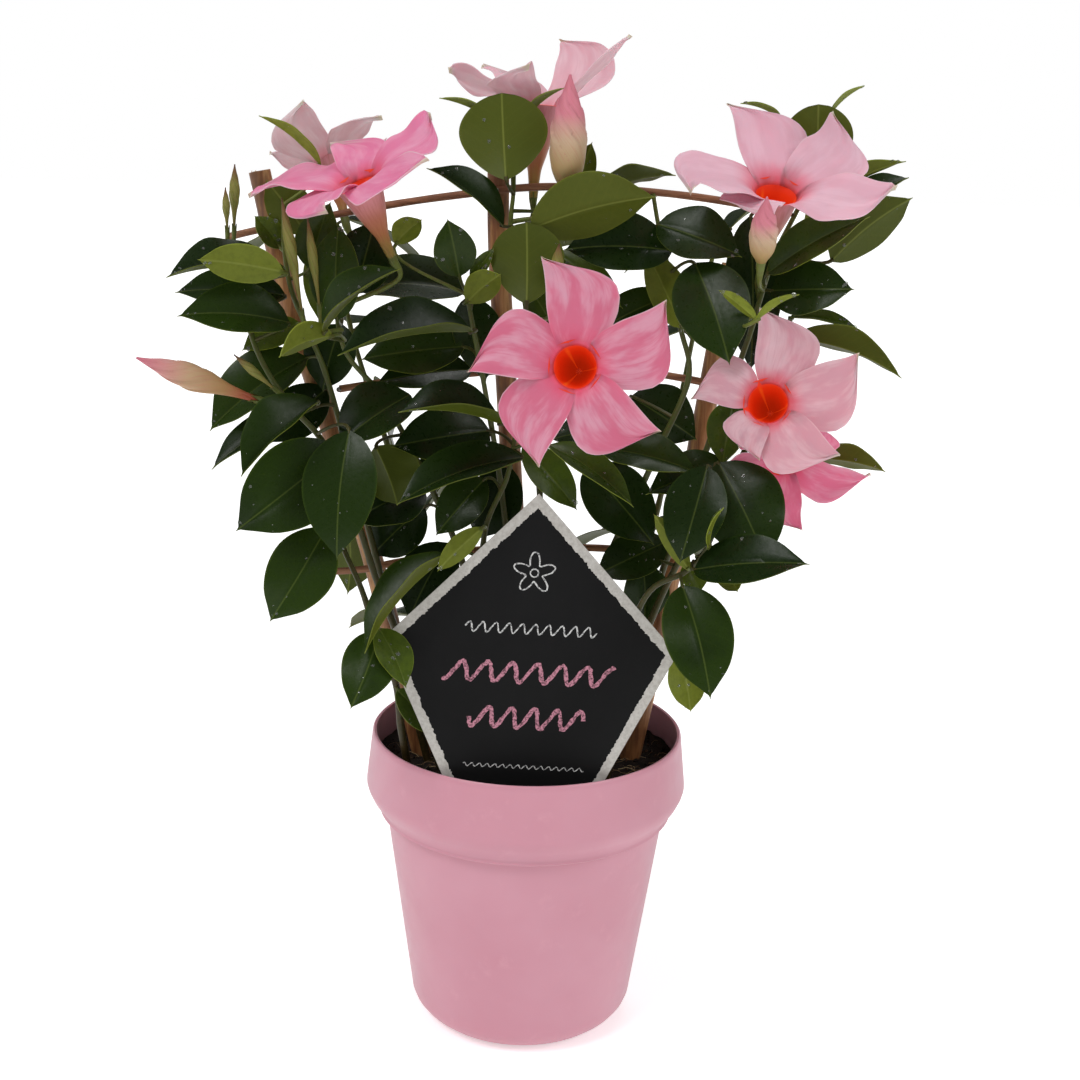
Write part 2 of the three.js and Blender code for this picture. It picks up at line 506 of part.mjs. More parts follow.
// root is where the stalk starts; without it only the blade is made
function makeLeaf(root, base, tip, width, lift, fold, grow = 0) {
  const reach = tip.clone().sub(base);
  const length = reach.length();
  const along = reach.normalize();
  const face = leafFace(base, along, lift);
  const side = along.clone().cross(face);
  const thick = LEAF_THICK + 2 * grow;
  const rise = Math.sin(THREE.MathUtils.degToRad(fold));
  const flat = Math.cos(THREE.MathUtils.degToRad(fold));
  const lift0 = face.clone().multiplyScalar(grow);
  const stalk = base.clone().sub(root || base.clone().sub(along)).normalize();
  // three corners: two above, one below
  const stalkRing = (at, heading) => {
    const turn = new THREE.Quaternion().setFromUnitVectors(along, heading);
    const across = side.clone().applyQuaternion(turn).multiplyScalar(STALK_HALF + grow);
    const over = face.clone().applyQuaternion(turn).multiplyScalar(STALK_THICK / 2 + grow);
    const left = at.clone().add(over).sub(across);
    const right = at.clone().add(over).add(across);
    const under = at.clone().sub(over);
    return [left, left, right, right, under, under];
  };
  const rings = [stalkRing(base, stalk.clone().add(along).normalize())];
  if (root) rings.unshift(stalkRing(root, stalk));
  (width < SMALL_LEAF ? SMALL_LEAF_STATIONS : LEAF_STATIONS).forEach((t) => {
    const half = (width / 2) * leafHalf(t, lift > BLUNT_LIFT) + grow;
    const centre = base.clone().addScaledVector(along, length * t).add(lift0);
    centre.addScaledVector(face, LEAF_ARCH * length * 4 * t * (1 - t));
    rings.push(bladeRing(centre, side, face, [half * flat, half * flat], half * rise, thick));
  });
  const end = tip.clone().addScaledVector(along, grow).add(lift0);
  const endUnder = end.clone().addScaledVector(face, -thick);
  rings.push([end, end, end, endUnder, endUnder, endUnder]);
  return loft(rings, LOWER_COLUMNS);
}

// ---------------------------------------------------------------- blooms and buds
const TUBE_LENGTH = 44;
const MOUTH_R = 11.5;
const PETAL_LENGTH = 39;
// edges of a lobe at each station: share of the reach, then how far each edge stands to the side
// of the lobe's middle line; the trailing edge bulges and the leading one runs straight to the point
const PETAL_EDGES = [[0, -6.6, 6.6], [0.3, -16, 13.4], [0.66, -18.6, 16], [0.95, -8, 18.4], [1.05, 19.5, 19.5]];
const PETAL_TILT = 0.2;          // one edge of each lobe lies over its neighbour
const PETAL_DISH = 0.1;

// middle line of a lobe in the bloom's own frame: out from the axis and up along it
function petalSpine(s, flare, bend) {
  const steps = 12;
  let out = MOUTH_R - 1.6;
  let up = -2.5;
  for (let i = 0; i < steps; i += 1) {
    const at = (s * (i + 0.5)) / steps;
    const open = 35 + (flare - 35) * THREE.MathUtils.smoothstep(at, 0, 0.35);
    const angle = THREE.MathUtils.degToRad(open + bend * at * at + 12 * at * at);
    out += ((PETAL_LENGTH * s) / steps) * Math.sin(angle);
    up += ((PETAL_LENGTH * s) / steps) * Math.cos(angle);
  }
  return { out, up };
}

function bloomFrame(axis) {
  const forward = axis.clone().normalize();
  const right = forward.clone().cross(new THREE.Vector3(0, 0, 1)).negate().normalize();
  const up = right.clone().cross(forward).negate();
  return { forward, right, up };
}

function makePetal(frame, mouth, turn, size, flare, [reach, bend, breadth], grow) {
  const angle = THREE.MathUtils.degToRad(turn);
  const radial = frame.right.clone().multiplyScalar(Math.cos(angle));
  radial.addScaledVector(frame.up, Math.sin(angle));
  const around = frame.right.clone().multiplyScalar(-Math.sin(angle));
  around.addScaledVector(frame.up, Math.cos(angle));
  const wide = size * breadth * (0.4 + 0.6 * reach);
  const rings = PETAL_EDGES.map(([s, trailing, leading]) => {
    const { out, up } = petalSpine(s * reach, flare, bend);
    const ahead = petalSpine(s * reach + 0.02, flare, bend);
    const run = new THREE.Vector2(ahead.out - out, ahead.up - up).normalize();
    const inner = radial.clone().multiplyScalar(-run.y).addScaledVector(frame.forward, run.x);
    const middle = Math.min(Math.max(0, trailing), leading) * wide;
    const centre = mouth.clone().addScaledVector(radial, out * size).addScaledVector(frame.forward, up * size);
    centre.addScaledVector(around, middle).addScaledVector(inner, grow);
    const side = around.clone().addScaledVector(inner, PETAL_TILT * Math.min(s * 2, 1)).normalize();
    const halves = [middle - trailing * wide + grow, leading * wide - middle + grow];
    const rise = ((leading - trailing) / 2) * wide * PETAL_DISH;
    if (leading > trailing) return bladeRing(centre, side, inner, halves, rise, PETAL_THICK + 2 * grow);
    const under = centre.clone().addScaledVector(inner, -PETAL_THICK - 2 * grow);
    return [centre, centre, centre, under, under, under];
  });
  return loft(rings.map((ring) => [...ring].reverse()), [1, 0]);
}

function makeBloom(bloom, grow = 0) {
  const [, x, z, y, axis, turn, size, flare, lobes] = bloom;
  const mouth = place(x, z, y);
  const frame = bloomFrame(new THREE.Vector3(...axis));
  const r = MOUTH_R + grow;
  const profile = [[0, -TUBE_LENGTH], [2.2 + grow, -TUBE_LENGTH], [3 + grow, -30], [8.6 + grow, -13], [r, 0],
    [r - 1.2 - 2 * grow, 0], [7.2, -13], [0, -28]];
  const points = profile.map(([a, b]) => new THREE.Vector2(a * size, b * size));
  const tube = new THREE.LatheGeometry(points, 6);
  const basis = new THREE.Matrix4().makeBasis(frame.right, frame.forward, frame.up.clone().negate());
  tube.applyMatrix4(basis);
  tube.translate(mouth.x, mouth.y, mouth.z);
  let bloomSolid = solidOf(tube);
  lobes.forEach(([reach, bend, swing = 0, breadth = 1], k) => {
    const at = turn + 72 * k + swing;
    bloomSolid = bloomSolid.add(makePetal(frame, mouth, at, size, flare, [reach, bend, breadth], grow));
  });
  return mainBody(bloomSolid);
}

function bloomFoot(bloom) {
  const [, x, z, y, axis, , size] = bloom;
  const frame = bloomFrame(new THREE.Vector3(...axis));
  return { at: place(x, z, y).addScaledVector(frame.forward, -TUBE_LENGTH * size), out: frame.forward };
}

// closed flower: spindle drawn to a point; a full one is about to open and is widest sooner
const BUD_PROFILE = [[0, 0.2], [0.3, 0.42], [0.58, 1], [0.8, 0.62], [1, 0.06]];
const FULL_BUD_PROFILE = [[0, 0.36], [0.16, 0.8], [0.45, 1], [0.7, 0.78], [1, 0.06]];
const FULL_BUDS = ['middle', 'right'];

function makeBud([, bx, bz, by, tx, tz, ty, thick], profile, grow = 0) {
  const base = place(bx, bz, by);
  const tip = place(tx, tz, ty);
  const steps = 5;
  const radius = (t) => {
    const i = Math.min(profile.findIndex(([at]) => at >= t - 1e-6) || 1, profile.length - 1);
    const [t0, r0] = profile[i - 1];
    const [t1, r1] = profile[i];
    return Math.max(((r0 + ((r1 - r0) * (t - t0)) / (t1 - t0)) * thick) / 2, 0.4) + grow;
  };
  return rod([base, base.clone().lerp(tip, 0.5), tip], 7, steps, radius);
}

function budFoot([, bx, bz, by, tx, tz, ty]) {
  const at = place(bx, bz, by);
  return { at, out: place(tx, tz, ty).sub(at).normalize() };
}

// ---------------------------------------------------------------- stems and flower stalks
const stemCurves = Object.fromEntries(Object.entries(SHOOTS).map(([name, points]) => (
  [name, new THREE.CatmullRomCurve3(points.map(([x, z, y]) => place(x, z, y)))])));

function stemRadius(t) {
  return STEM_R + (STEM_TIP_R - STEM_R) * t;
}

const stemSteps = (name) => Math.ceil(stemCurves[name].getLength() / STEM_STEP);

function makeStem(name, clear = 0) {
  return rod(stemCurves[name].points, STEM_SIDES, stemSteps(name), (t) => stemRadius(t) + clear);
}

// place in the middle of a straight stretch of a stem, near to a point and a little below it
const STALK_DROP = 8;
const LOWEST_STALK_Z = 158;

function stemPoint(name, near, along) {
  const corners = stemCurves[name].getSpacedPoints(stemSteps(name));
  let best = null;
  for (let i = 0; i + 1 < corners.length; i += 1) {
    for (let share = 0.05; share < 1; share += 0.1) {
      const at = corners[i].clone().lerp(corners[i + 1], share);
      const stalk = near.clone().sub(at);
      const turn = Math.max(-stalk.dot(along), 0);
      const away = stalk.length() + turn + 0.25 * Math.abs(at.z - near.z + STALK_DROP);
      if (at.z > LOWEST_STALK_Z && (!best || away < best.away)) best = { away, at };
    }
  }
  return best.at;
}

const CUP_R = 2.6;
const SMALL_BUD = 8;             // a thinner bud sits on a finer stalk

// flower stalk from the stem to the green cup that the flower sits on
function makeStalk(name, { at, out }, small) {
  const top = at.clone().addScaledVector(out, -GAP);
  const below = top.clone().addScaledVector(out, -9);
  const root = stemPoint(name, below, out);
  const r = small ? 1 : 1.3;
  const cup = small ? 1.6 : CUP_R;
  return rod([root, below, top], 4, 3, (t) => (t > 0.8 ? cup : r));
}

// ---------------------------------------------------------------- putting it together
const nodes = [];                // every finished or growing node: name, parts, colour
const boxOf = (solid) => {
  const { min, max } = solid.boundingBox();
  return new THREE.Box3(new THREE.Vector3(...min), new THREE.Vector3(...max));
};

function openNode(name, look) {
  const node = { name, look, parts: [] };
  nodes.push(node);
  return node;
}

function addPart(node, solid) {
  node.parts.push({ solid, box: boxOf(solid) });
}

function crosses(guard, parts) {
  const box = boxOf(guard);
  return parts.some((part) => part.box.intersectsBox(box) && guard.intersect(part.solid).volume() > 1e-6);
}

const LOOKS = {
  pot: ['#e0a5b3', 0.6], soil: ['#2a1a12', 0.95], cane: ['#b07a45', 0.6], rod: ['#96603c', 0.6],
  nail: ['#c8c8c4', 0.35], label: ['#26282b', 0.7], leaf: ['#26461f', 0.4], bloom: ['#ea8fb0', 0.55],
  bud: ['#c9a27c', 0.5],
};

const stakeHoles = Object.values(STAKES).map((points) => makeStake(points, GAP));
const stemHoles = Object.keys(SHOOTS).map((name) => makeStem(name, GAP));
const soil = makeSoil([...stakeHoles, ...stemHoles, makeLabel(GAP)]);
addPart(openNode('pot', LOOKS.pot), makePot());
addPart(openNode('soil', LOOKS.soil), soil);

const nailPlaces = Object.values(RODS).flatMap((points) => (
  Object.values(STAKES).map((stake) => crossing(points, stake))));
const nailHoles = nailPlaces.map((at) => makeNail(at, GAP));
const drilled = (solid) => nailHoles.reduce((rest, hole) => rest.subtract(hole), solid);
Object.entries(STAKES).forEach(([name, points]) => {
  addPart(openNode(`stake_${name}`, LOOKS.cane), drilled(makeStake(points)));
});
Object.entries(RODS).forEach(([name, points]) => {
  addPart(openNode(`rod_${name}`, LOOKS.rod), drilled(makeRod(points)));
});
nailPlaces.forEach((at, i) => addPart(openNode(`nail_${i + 1}`, LOOKS.nail), makeNail(at)));
addPart(openNode('label', LOOKS.label), makeLabel());

const shootNodes = {};
Object.keys(SHOOTS).forEach((name) => {
  shootNodes[name] = openNode(`shoot_${name}`, LOOKS.leaf);
  addPart(shootNodes[name], makeStem(name));
});
Object.entries(BLOOMS).forEach(([name, bloom]) => {
  addPart(openNode(`bloom_${name}`, LOOKS.bloom), makeBloom(bloom));
  addPart(shootNodes[bloom[0]], makeStalk(bloom[0], bloomFoot(bloom), false));
});

// A bud keeps its place as seen and moves in depth to the first of these that leaves it room.
const BUD_SHIFTS = [0, -5, 5, -10, 10, -16, 16, -24, 24];

function addBud(name, bud) {
  const [shoot, bx, bz, by, tx, tz, ty, thick] = bud;
  const others = nodes.flatMap((other) => other.parts);
  const otherShoots = nodes.filter((other) => other !== shootNodes[shoot]).flatMap((other) => other.parts);
  const profile = FULL_BUDS.includes(name) ? FULL_BUD_PROFILE : BUD_PROFILE;
  for (const shift of BUD_SHIFTS) {
    const moved = [shoot, bx, bz, by + shift, tx, tz, ty + shift, thick];
    const stalk = makeStalk(shoot, budFoot(moved), thick < SMALL_BUD);
    if (!crosses(makeBud(moved, profile, GAP), others) && !crosses(stalk, otherShoots)) {
      addPart(openNode(`bud_${name}`, LOOKS.bud), makeBud(moved, profile));
      addPart(shootNodes[shoot], stalk);
      return;
    }
  }
}

Object.entries(BUDS).forEach(([name, bud]) => addBud(name, bud));

// A leaf that would cross another node is bent clear along the line of sight: the depths of
// its base and tip change by the first of these pairs that leaves room round it.
const BENDS = [[0, 0], [0, -6], [0, 6], [-4, -12], [4, 12], [-8, -8], [8, 8], [-8, -18], [8, 18],
  [-14, -14], [14, 14], [-14, -26], [14, 26], [-22, -22], [22, 22], [-22, -36], [22, 36], [-32, -32], [32, 32]];
const GUARD = 0.3;

function addLeaf(name, at, width, lift, fold) {
  // spare: clear of the other nodes, though its blade meets a leaf of its own shoot
  const [bx, bz, by, tx, tz, ty] = at;
  const node = shootNodes[name];
  const others = nodes.filter((other) => other !== node).flatMap((other) => other.parts);
  let spare = null;
  for (const [baseShift, tipShift] of BENDS) {
    const base = place(bx, bz, by + baseShift);
    const tip = place(tx, tz, ty + tipShift);
    const root = stemPoint(name, base, tip.clone().sub(base).normalize());
    if (!crosses(makeLeaf(root, base, tip, width, lift, fold, GUARD), others)) {
      const leaf = makeLeaf(root, base, tip, width, lift, fold);
      if (!crosses(makeLeaf(null, base, tip, width, lift, fold), node.parts)) {
        addPart(node, leaf);
        return;
      }
      spare = spare || leaf;
    }
  }
  if (spare) addPart(node, spare);
}

LEAVES.forEach(([name, bx, bz, by, tx, tz, ty, width, lift, fold]) => {
  addLeaf(name, [bx, bz, by, tx, tz, ty], width, lift, fold);
});

// rear leaves: opposite pairs, each pair turned from the one below, spread away from the display side
function seeded(seed) {
  let state = seed;
  return () => {
    state = (state * 48271) % 2147483647;
    return state / 2147483647;
  };
}

const GOLDEN_TURN = THREE.MathUtils.degToRad(137.5);

function seenFrom(point) {
  const reach = (point.y - VIEW_POINT.y) / -VIEW_POINT.y;
  const seen = point.clone().sub(VIEW_POINT).divideScalar(reach).add(VIEW_POINT);
  return [seen.x, seen.z, point.y];
}

const draw = seeded(REAR_SEED);
REAR_STEMS.forEach((name) => {
  for (let pair = 0; pair < REAR_PAIRS; pair += 1) {
    const share = REAR_FIRST + ((0.98 - REAR_FIRST) * pair) / (REAR_PAIRS - 1);
    const node = stemCurves[name].getPointAt(share);
    for (let hand = 0; hand < 2; hand += 1) {
      const spin = (draw() - 0.5) * 0.5 + GOLDEN_TURN * pair + Math.PI * hand;
      const out = new THREE.Vector3(Math.cos(spin), 0.55 + 0.75 * Math.abs(Math.sin(spin)), 0).normalize();
      const length = REAR_LENGTH * (0.85 + 0.3 * draw());
      const base = node.clone().addScaledVector(out, 9);
      base.z += 6;
      const tip = base.clone().addScaledVector(out, length * 0.86);
      tip.z += length * (draw() * 0.9 - 0.55);
      addLeaf(name, [...seenFrom(base), ...seenFrom(tip)], length * REAR_WIDTH, 90, 16);
    }
  }
});

const root = new THREE.Group();
nodes.forEach(({ name, look, parts }) => {
  const joined = wasm.Manifold.union(parts.map((part) => part.solid));
  const solid = mainBody(joined).simplify(SMALLEST_DETAIL);
  const [color, roughness] = look;
  const mesh = new THREE.Mesh(geometryOf(solid), new THREE.MeshStandardMaterial({ color, roughness }));
  mesh.name = name;
  root.add(mesh);
});

export default root;
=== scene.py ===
"""A potted mandevilla on a fan trellis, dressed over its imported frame.

Lengths are in millimetres while a piece is worked out and in metres once it is a mesh.
"""

import itertools
import math

import bmesh
import bpy
import numpy as np
from mathutils import Matrix, Vector, noise
from mathutils.kdtree import KDTree


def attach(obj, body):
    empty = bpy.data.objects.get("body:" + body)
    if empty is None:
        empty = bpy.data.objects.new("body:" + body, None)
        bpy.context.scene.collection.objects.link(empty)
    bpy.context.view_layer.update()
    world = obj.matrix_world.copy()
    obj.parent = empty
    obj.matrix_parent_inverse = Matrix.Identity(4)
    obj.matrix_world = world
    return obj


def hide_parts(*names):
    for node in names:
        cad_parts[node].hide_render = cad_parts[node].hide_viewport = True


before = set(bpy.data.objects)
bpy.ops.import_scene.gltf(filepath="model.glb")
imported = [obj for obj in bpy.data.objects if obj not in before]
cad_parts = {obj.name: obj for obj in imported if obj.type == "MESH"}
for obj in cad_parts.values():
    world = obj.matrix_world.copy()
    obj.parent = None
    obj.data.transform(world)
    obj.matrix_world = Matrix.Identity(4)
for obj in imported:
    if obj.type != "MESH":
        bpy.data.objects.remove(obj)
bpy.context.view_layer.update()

MM = 0.001
GAP = 0.3
UP = np.array((0.0, 0.0, 1.0))

# ---------------------------------------------------------------- sizes shared with the solids
POT_WALL = 2.0
POT_FLOOR = 2.5
POT_FOOT_R = 51.0
POT_LIP_Z = 121.6
POT_WALL_TOP_R = 77.4
POT_LIP_R = 79.0
POT_COLLAR_R = 88.5
POT_COLLAR_Z = 138.0
POT_RIM_R = 85.0
POT_RIM_Z = 167.0
DRAIN_HOLES = 4
DRAIN_R = 5.0
DRAIN_CIRCLE_R = 34.0
SOIL_Z = 150.0
SOIL_MOUND = 4.0

STAKE_R = 5.8
ROD_R = 2.0
ROD_Y = -(STAKE_R + ROD_R + GAP)

LABEL_THICK = 1.0
LABEL_SPIKE_HALF = 7.0
LABEL_LEAN = 0.03
LABEL_Y = -66.0
LABEL_TURN = math.radians(-1.75)
LABEL_CENTRE_Z = 234.0
LABEL_HALF_WIDTH = 74.0
LABEL_PEAK = 78.0
LABEL_FOOT_HALF = 34.0
LABEL_FOOT_DROP = 86.0
LABEL_SPIKE_DROP = 130.0

STEM_R = 2.3
STEM_TIP_R = 1.1
STEM_STEP = 28.0
LEAF_ARCH = 0.07
STALK_DROP = 8.0
LOWEST_STALK_Z = 158.0
SMALL_BUD = 8.0

TUBE_LENGTH = 44.0
MOUTH_R = 11.5
PETAL_LENGTH = 39.0
PETAL_TILT = 0.2
PETAL_DISH = 0.1

# Places on the plant are given as they are seen from the display side: x and z where the
# line of sight from VIEW_POINT crosses the upright plane y = 0, then the real depth y.
VIEW_POINT = np.array((0.0, -783.0, 466.5))


def place(x, z, y):
    reach = (y - VIEW_POINT[1]) / -VIEW_POINT[1]
    return (np.array((x, 0.0, z)) - VIEW_POINT) * reach + VIEW_POINT


# ---------------------------------------------------------------- what stands where
# stakes: x, z, y from the top down to the end in the soil
STAKES = {
    "left": [[-143, 462, 0], [-129, 398, 0], [-114, 350, 0], [-88, 269, 0], [-76, 222, 0], [-56, 140, 0],
        [-47, 100, 0]],
    "centre": [[-22, 472, 0], [-21, 430, 0], [-15, 350, 0], [-9, 270, 0], [-3, 140, 0], [-2, 100, 0]],
    "right": [[99.5, 422, 0], [92, 366, 0], [86, 322, 0], [72, 236, 0], [64, 185, 0], [56, 140, 0],
        [49, 100, 0]],
}
# cross rods: x, z, from the left cut end to the right one
RODS = {
    "top": [[-159, 429], [-143, 433], [-77, 447], [-41, 453], [0, 458], [56, 457], [96, 453], [112, 450]],
    "middle": [[-103, 352], [-84, 355.5], [-61, 358.5], [-34, 362], [0, 365.5], [40, 366.5], [80, 362],
        [100, 358]],
    "lower": [[-109, 252.5], [-90, 254.5], [-72, 259], [-40, 265.5], [0, 269], [40, 269.5], [69, 267.5],
        [85, 265]],
}

# stems: x, z, y from the soil upwards
SHOOTS = {
    "left_rear": [[-47, 112, -12], [-66, 190, -15], [-84, 262, -18], [-98, 315, -18], [-111, 362, -20],
        [-121, 386, -26], [-128, 404, -27], [-131, 425, -24], [-131, 447, -20]],
    "left_front": [[-40, 112, -20], [-62, 190, -27], [-84, 250, -32], [-97, 290, -36], [-113, 325, -42],
        [-131, 345, -46], [-146, 371, -46], [-153, 400, -40], [-157, 428, -32]],
    "left_low": [[-62, 118, -34], [-70, 165, -44], [-73, 190, -48], [-83, 216, -50], [-92, 244, -48],
        [-103, 270, -40], [-110, 296, -32]],
    "centre_front": [[-20, 112, -38], [-25, 170, -42], [-26, 230, -46], [-25, 279, -50], [-14, 308, -46],
        [-10, 332, -42]],
    "centre_left": [[-14, 112, -16], [-22, 190, -22], [-38, 262, -28], [-62, 315, -30], [-82, 350, -32],
        [-100, 372, -38], [-105, 395, -36]],
    "centre_high": [[-6, 112, -22], [-8, 220, -22], [-17, 300, -24], [-27, 355, -30], [-34, 388, -36],
        [-37, 404, -38]],
    "centre_tall": [[6, 112, -18], [6, 250, -20], [1, 330, -20], [-7, 400, -24], [-15, 436, -26],
        [-14, 455, -26]],
    "right_inner": [[20, 112, -16], [34, 240, -20], [64, 320, -24], [80, 365, -30], [75, 386, -34],
        [70, 402, -34], [66, 420, -28], [60, 442, -20], [57, 456, -16]],
    "right_tall": [[40, 112, -18], [72, 262, -16], [96, 340, -22], [110, 385, -34], [114, 402, -40],
        [120, 425, -34], [133, 455, -22], [144, 484, -18]],
    "right_front": [[34, 112, -30], [66, 230, -30], [92, 290, -34], [112, 326, -36], [124, 358, -34],
        [130, 384, -38], [131, 396, -40]],
    "right_low": [[42, 112, -42], [49, 170, -54], [56, 226, -60], [66, 248, -64], [84, 258, -68],
        [94, 271, -72], [98, 281, -74]],
    "back_left": [[-30, 112, 18], [-52, 220, 30], [-74, 310, 38], [-96, 380, 36], [-108, 440, 30]],
    "back_right": [[30, 112, 20], [52, 220, 32], [70, 310, 40], [82, 390, 38], [92, 440, 30]],
}

# leaves of each shoot: blade base x z y, blade tip x z y, width, lift, fold
# lift turns the upper face: 0 to the display side, 90 to the sky, 180 shows the underside.
# fold raises the two halves of the blade out of flat, in degrees.
LEAVES = {
    "left_rear": [
        [-112, 466, -26, -142.5, 489.5, -34, 13, 110, 20],
        [-120, 432, -12, -140, 458, -8, 24, 165, 12],
        [-118, 414, -32, -107, 448, -36, 22, 10, 20],
        [-133, 424, -14, -146, 440, -10, 14, 20, 20],
        [-120, 368, -32, -172, 328, -60, 38, 40, 25],
        [-117, 342, -30, -171.5, 307.5, -56, 27, 60, 20],
        [-103, 320, -46, -159.5, 273.5, -66, 43, 10, 10],
        [-124, 386, -12, -154, 371, -20, 18, 30, 12],
        [-114, 424, -14, -113, 386, -20, 18, 10, 12],
        [-110, 352, -8, -140, 322, -16, 28, 20, 12],
    ],
    "left_front": [
        [-131, 411, -20, -192, 408, -48, 36, 70, 36],
        [-132, 412, -52, -176, 417, -60, 19, 165, 10],
        [-131, 400, -38, -188, 400, -56, 24, 30, 25],
        [-129, 386, -52, -187, 388, -72, 32, 35, 25],
        [-114, 345, -56, -156, 304, -84, 36, 46, 44],
        [-98, 330, -62, -105, 259, -82, 37, 10, 12],
    ],
    "left_low": [
        [-111, 276, -50, -142, 223, -66, 34, 5, 8],
        [-82, 219, -62, -98, 174, -82, 27, 0, 6],
        [-82, 221, -54, -67, 187, -58, 19, 20, 15],
        [-72, 186, -52, -50, 160, -56, 18, 20, 15],
    ],
    "centre_front": [
        [-18, 336, -60, -72, 341, -90, 35, 64, 42],
        [-6, 318, -54, -73, 291, -80, 31, 48, 28],
        [-27, 279, -62, -51, 254, -76, 12, 168, 15],
        [-44, 264, -66, -90.5, 207, -96, 34, 66, 42],
        [8, 325, -56, 54, 293, -76, 20, 42, 25],
        [-24, 332, -30, -76, 322, -40, 32, 24, 12],
        [-26, 306, -30, -52, 274, -40, 24, 15, 12],
    ],
    "centre_left": [
        [-107, 380, -56, -135, 368, -82, 20, 130, 25],
        [-104, 388, -46, -103, 438, -50, 26, 8, 18],
        [-94, 402, -28, -84, 440, -26, 30, 12, 15],
        [-111, 382, -62, -71.5, 415.5, -80, 27, 58, 44],
        [-84, 322, -40, -72, 290, -52, 34, 150, 20],
        [-66, 350, -22, -104, 322, -30, 38, 40, 18],
        [-58, 300, -16, -98, 280, -20, 36, 30, 15],
        [-44, 270, -12, -66, 226, -20, 34, 20, 12],
        [-102, 386, -10, -112, 350, -16, 28, 15, 12],
        [-58, 290, -12, -86, 262, -18, 32, 20, 12],
    ],
    "centre_high": [
        [-74, 428, -30, -60.5, 440.5, -34, 15, 150, 15],
        [-38, 404, -30, -98, 404, -40, 42, 56, 15],
        [-41, 412, -52, -47.5, 441, -56, 21, 0, 12],
        [-35, 411, -50, -23.5, 427, -52, 8, 10, 20],
        [-37, 399, -56, -19.5, 414, -64, 17, 165, 20],
        [-34, 384, -54, -104, 370, -84, 40, 60, 42],
        [-24, 330, -14, -62, 306, -20, 36, 30, 15],
        [-38, 376, -18, -92, 368, -22, 30, 30, 12],
        [-34, 364, -6, -84, 356, -14, 26, 40, 12],
        [-12, 312, -12, -30, 272, -16, 30, 10, 12],
        [-36, 402, -14, -26, 358, -20, 27, 15, 12],
    ],
    "centre_tall": [
        [-19, 438, -30, -58, 466, -38, 25, 55, 34],
        [-18, 461, -34, -21, 503, -24, 44, 178, 8],
        [-22, 488, -14, -52, 500.5, -24, 12, 100, 20],
        [-10, 490, -8, 10, 507, -10, 12, 100, 20],
        [-5, 437, -50, 59, 455, -52, 36, 150, 14],
        [-6, 399, -54, -7, 440, -44, 36, 178, 10],
        [-6, 324, -28, 24, 290, -34, 21, 20, 15],
        [-4, 406, -20, 14, 376, -24, 20, 15, 12],
        [8, 425, -12, 44, 398, -18, 17, 20, 12],
        [-6, 428, -10, 44, 442, -14, 26, 130, 12],
        [19, 452, -12, 25, 481, -14, 15, 160, 12],
    ],
    "right_inner": [
        [30, 455, -14, 68, 466, -20, 26, 112, 15],
        [68, 428, -34, 12, 427, -44, 34, 30, 18],
        [60, 441, -34, 104, 426, -52, 31, 32, 15],
        [75, 389, -42, 54, 430, -36, 22, 165, 22],
        [80, 422, -46, 101, 370, -70, 37, 5, 10],
        [36, 324, -46, 88, 312, -70, 25, 36, 22],
        [28, 314, -16, 66, 272, -24, 36, 20, 12],
        [50, 352, -16, 86, 330, -22, 34, 25, 12],
        [58, 334, -12, 8, 328, -16, 32, 35, 12],
        [72, 274, -18, 34, 254, -24, 26, 15, 12],
        [68, 405, -14, 26, 382, -20, 22, 15, 12],
    ],
    "right_tall": [
        [140, 463, -24, 138, 502, -22, 35, 178, 12],
        [119.5, 495, -16, 99, 502, -22, 9, 100, 20],
        [144, 498, -16, 160, 512, -20, 9, 95, 20],
        [140, 452, -30, 184, 476, -50, 19, 118, 20],
        [152, 444, -20, 186, 468, -36, 26, 60, 22],
        [136, 440, -34, 154, 461, -34, 13, 150, 15],
        [118, 418, -50, 168, 448, -66, 24, 34, 24],
        [120, 409, -44, 163, 411, -66, 28, 20, 12],
        [113.5, 394, -64, 93, 409, -72, 7, 150, 25],
        [113.5, 394, -64, 134.5, 408, -70, 7, 120, 25],
        [150, 425, -30, 189, 458, -46, 28, 150, 12],
        [107, 446, -14, 112, 366, -20, 30, 10, 12],
    ],
    "right_front": [
        [131, 396, -46, 167, 390.5, -60, 12, 62, 20],
        [134, 385, -50, 191.5, 366, -72, 27, 118, 24],
        [148, 322, -36, 187, 316, -52, 20, 128, 20],
        [104, 352, -22, 100, 316, -28, 22, 15, 15],
        [104, 316, -44, 60, 300, -64, 27, 32, 20],
        [60, 262, -22, 62, 226, -30, 26, 20, 12],
    ],
    "right_low": [
        [98, 318, -54, 128, 262, -74, 42, 5, 8],
        [92, 316, -58, 80, 262, -70, 31, 8, 12],
        [85, 259, -78, 64.5, 289.5, -92, 11, 172, 20],
        [95, 272, -78, 101.5, 294, -90, 6, 90, 30],
        [88, 259, -82, 150, 264, -108, 30, 36, 18],
        [100, 267, -58, 112.5, 247, -72, 20, 150, 15],
        [82, 250, -76, 101, 185, -100, 35, 10, 10],
        [84, 215, -64, 90.5, 177, -80, 20, 172, 15],
        [84, 263, -54, 92, 246, -60, 15, 15, 12],
    ],
    "back_left": [
        [-100, 286, 16, -99, 240, 24, 34, 150, 12],
    ],
    "back_right": [],
}

# leaves of the far side stand in pairs on the stems listed here, by a seeded rule
REAR_STEMS = ["back_left", "back_right"]
REAR_PAIRS = 5
REAR_FIRST = 0.32  # share of the stem below the first pair
REAR_LENGTH = 58
REAR_WIDTH = 0.56  # of the length
REAR_SEED = 7

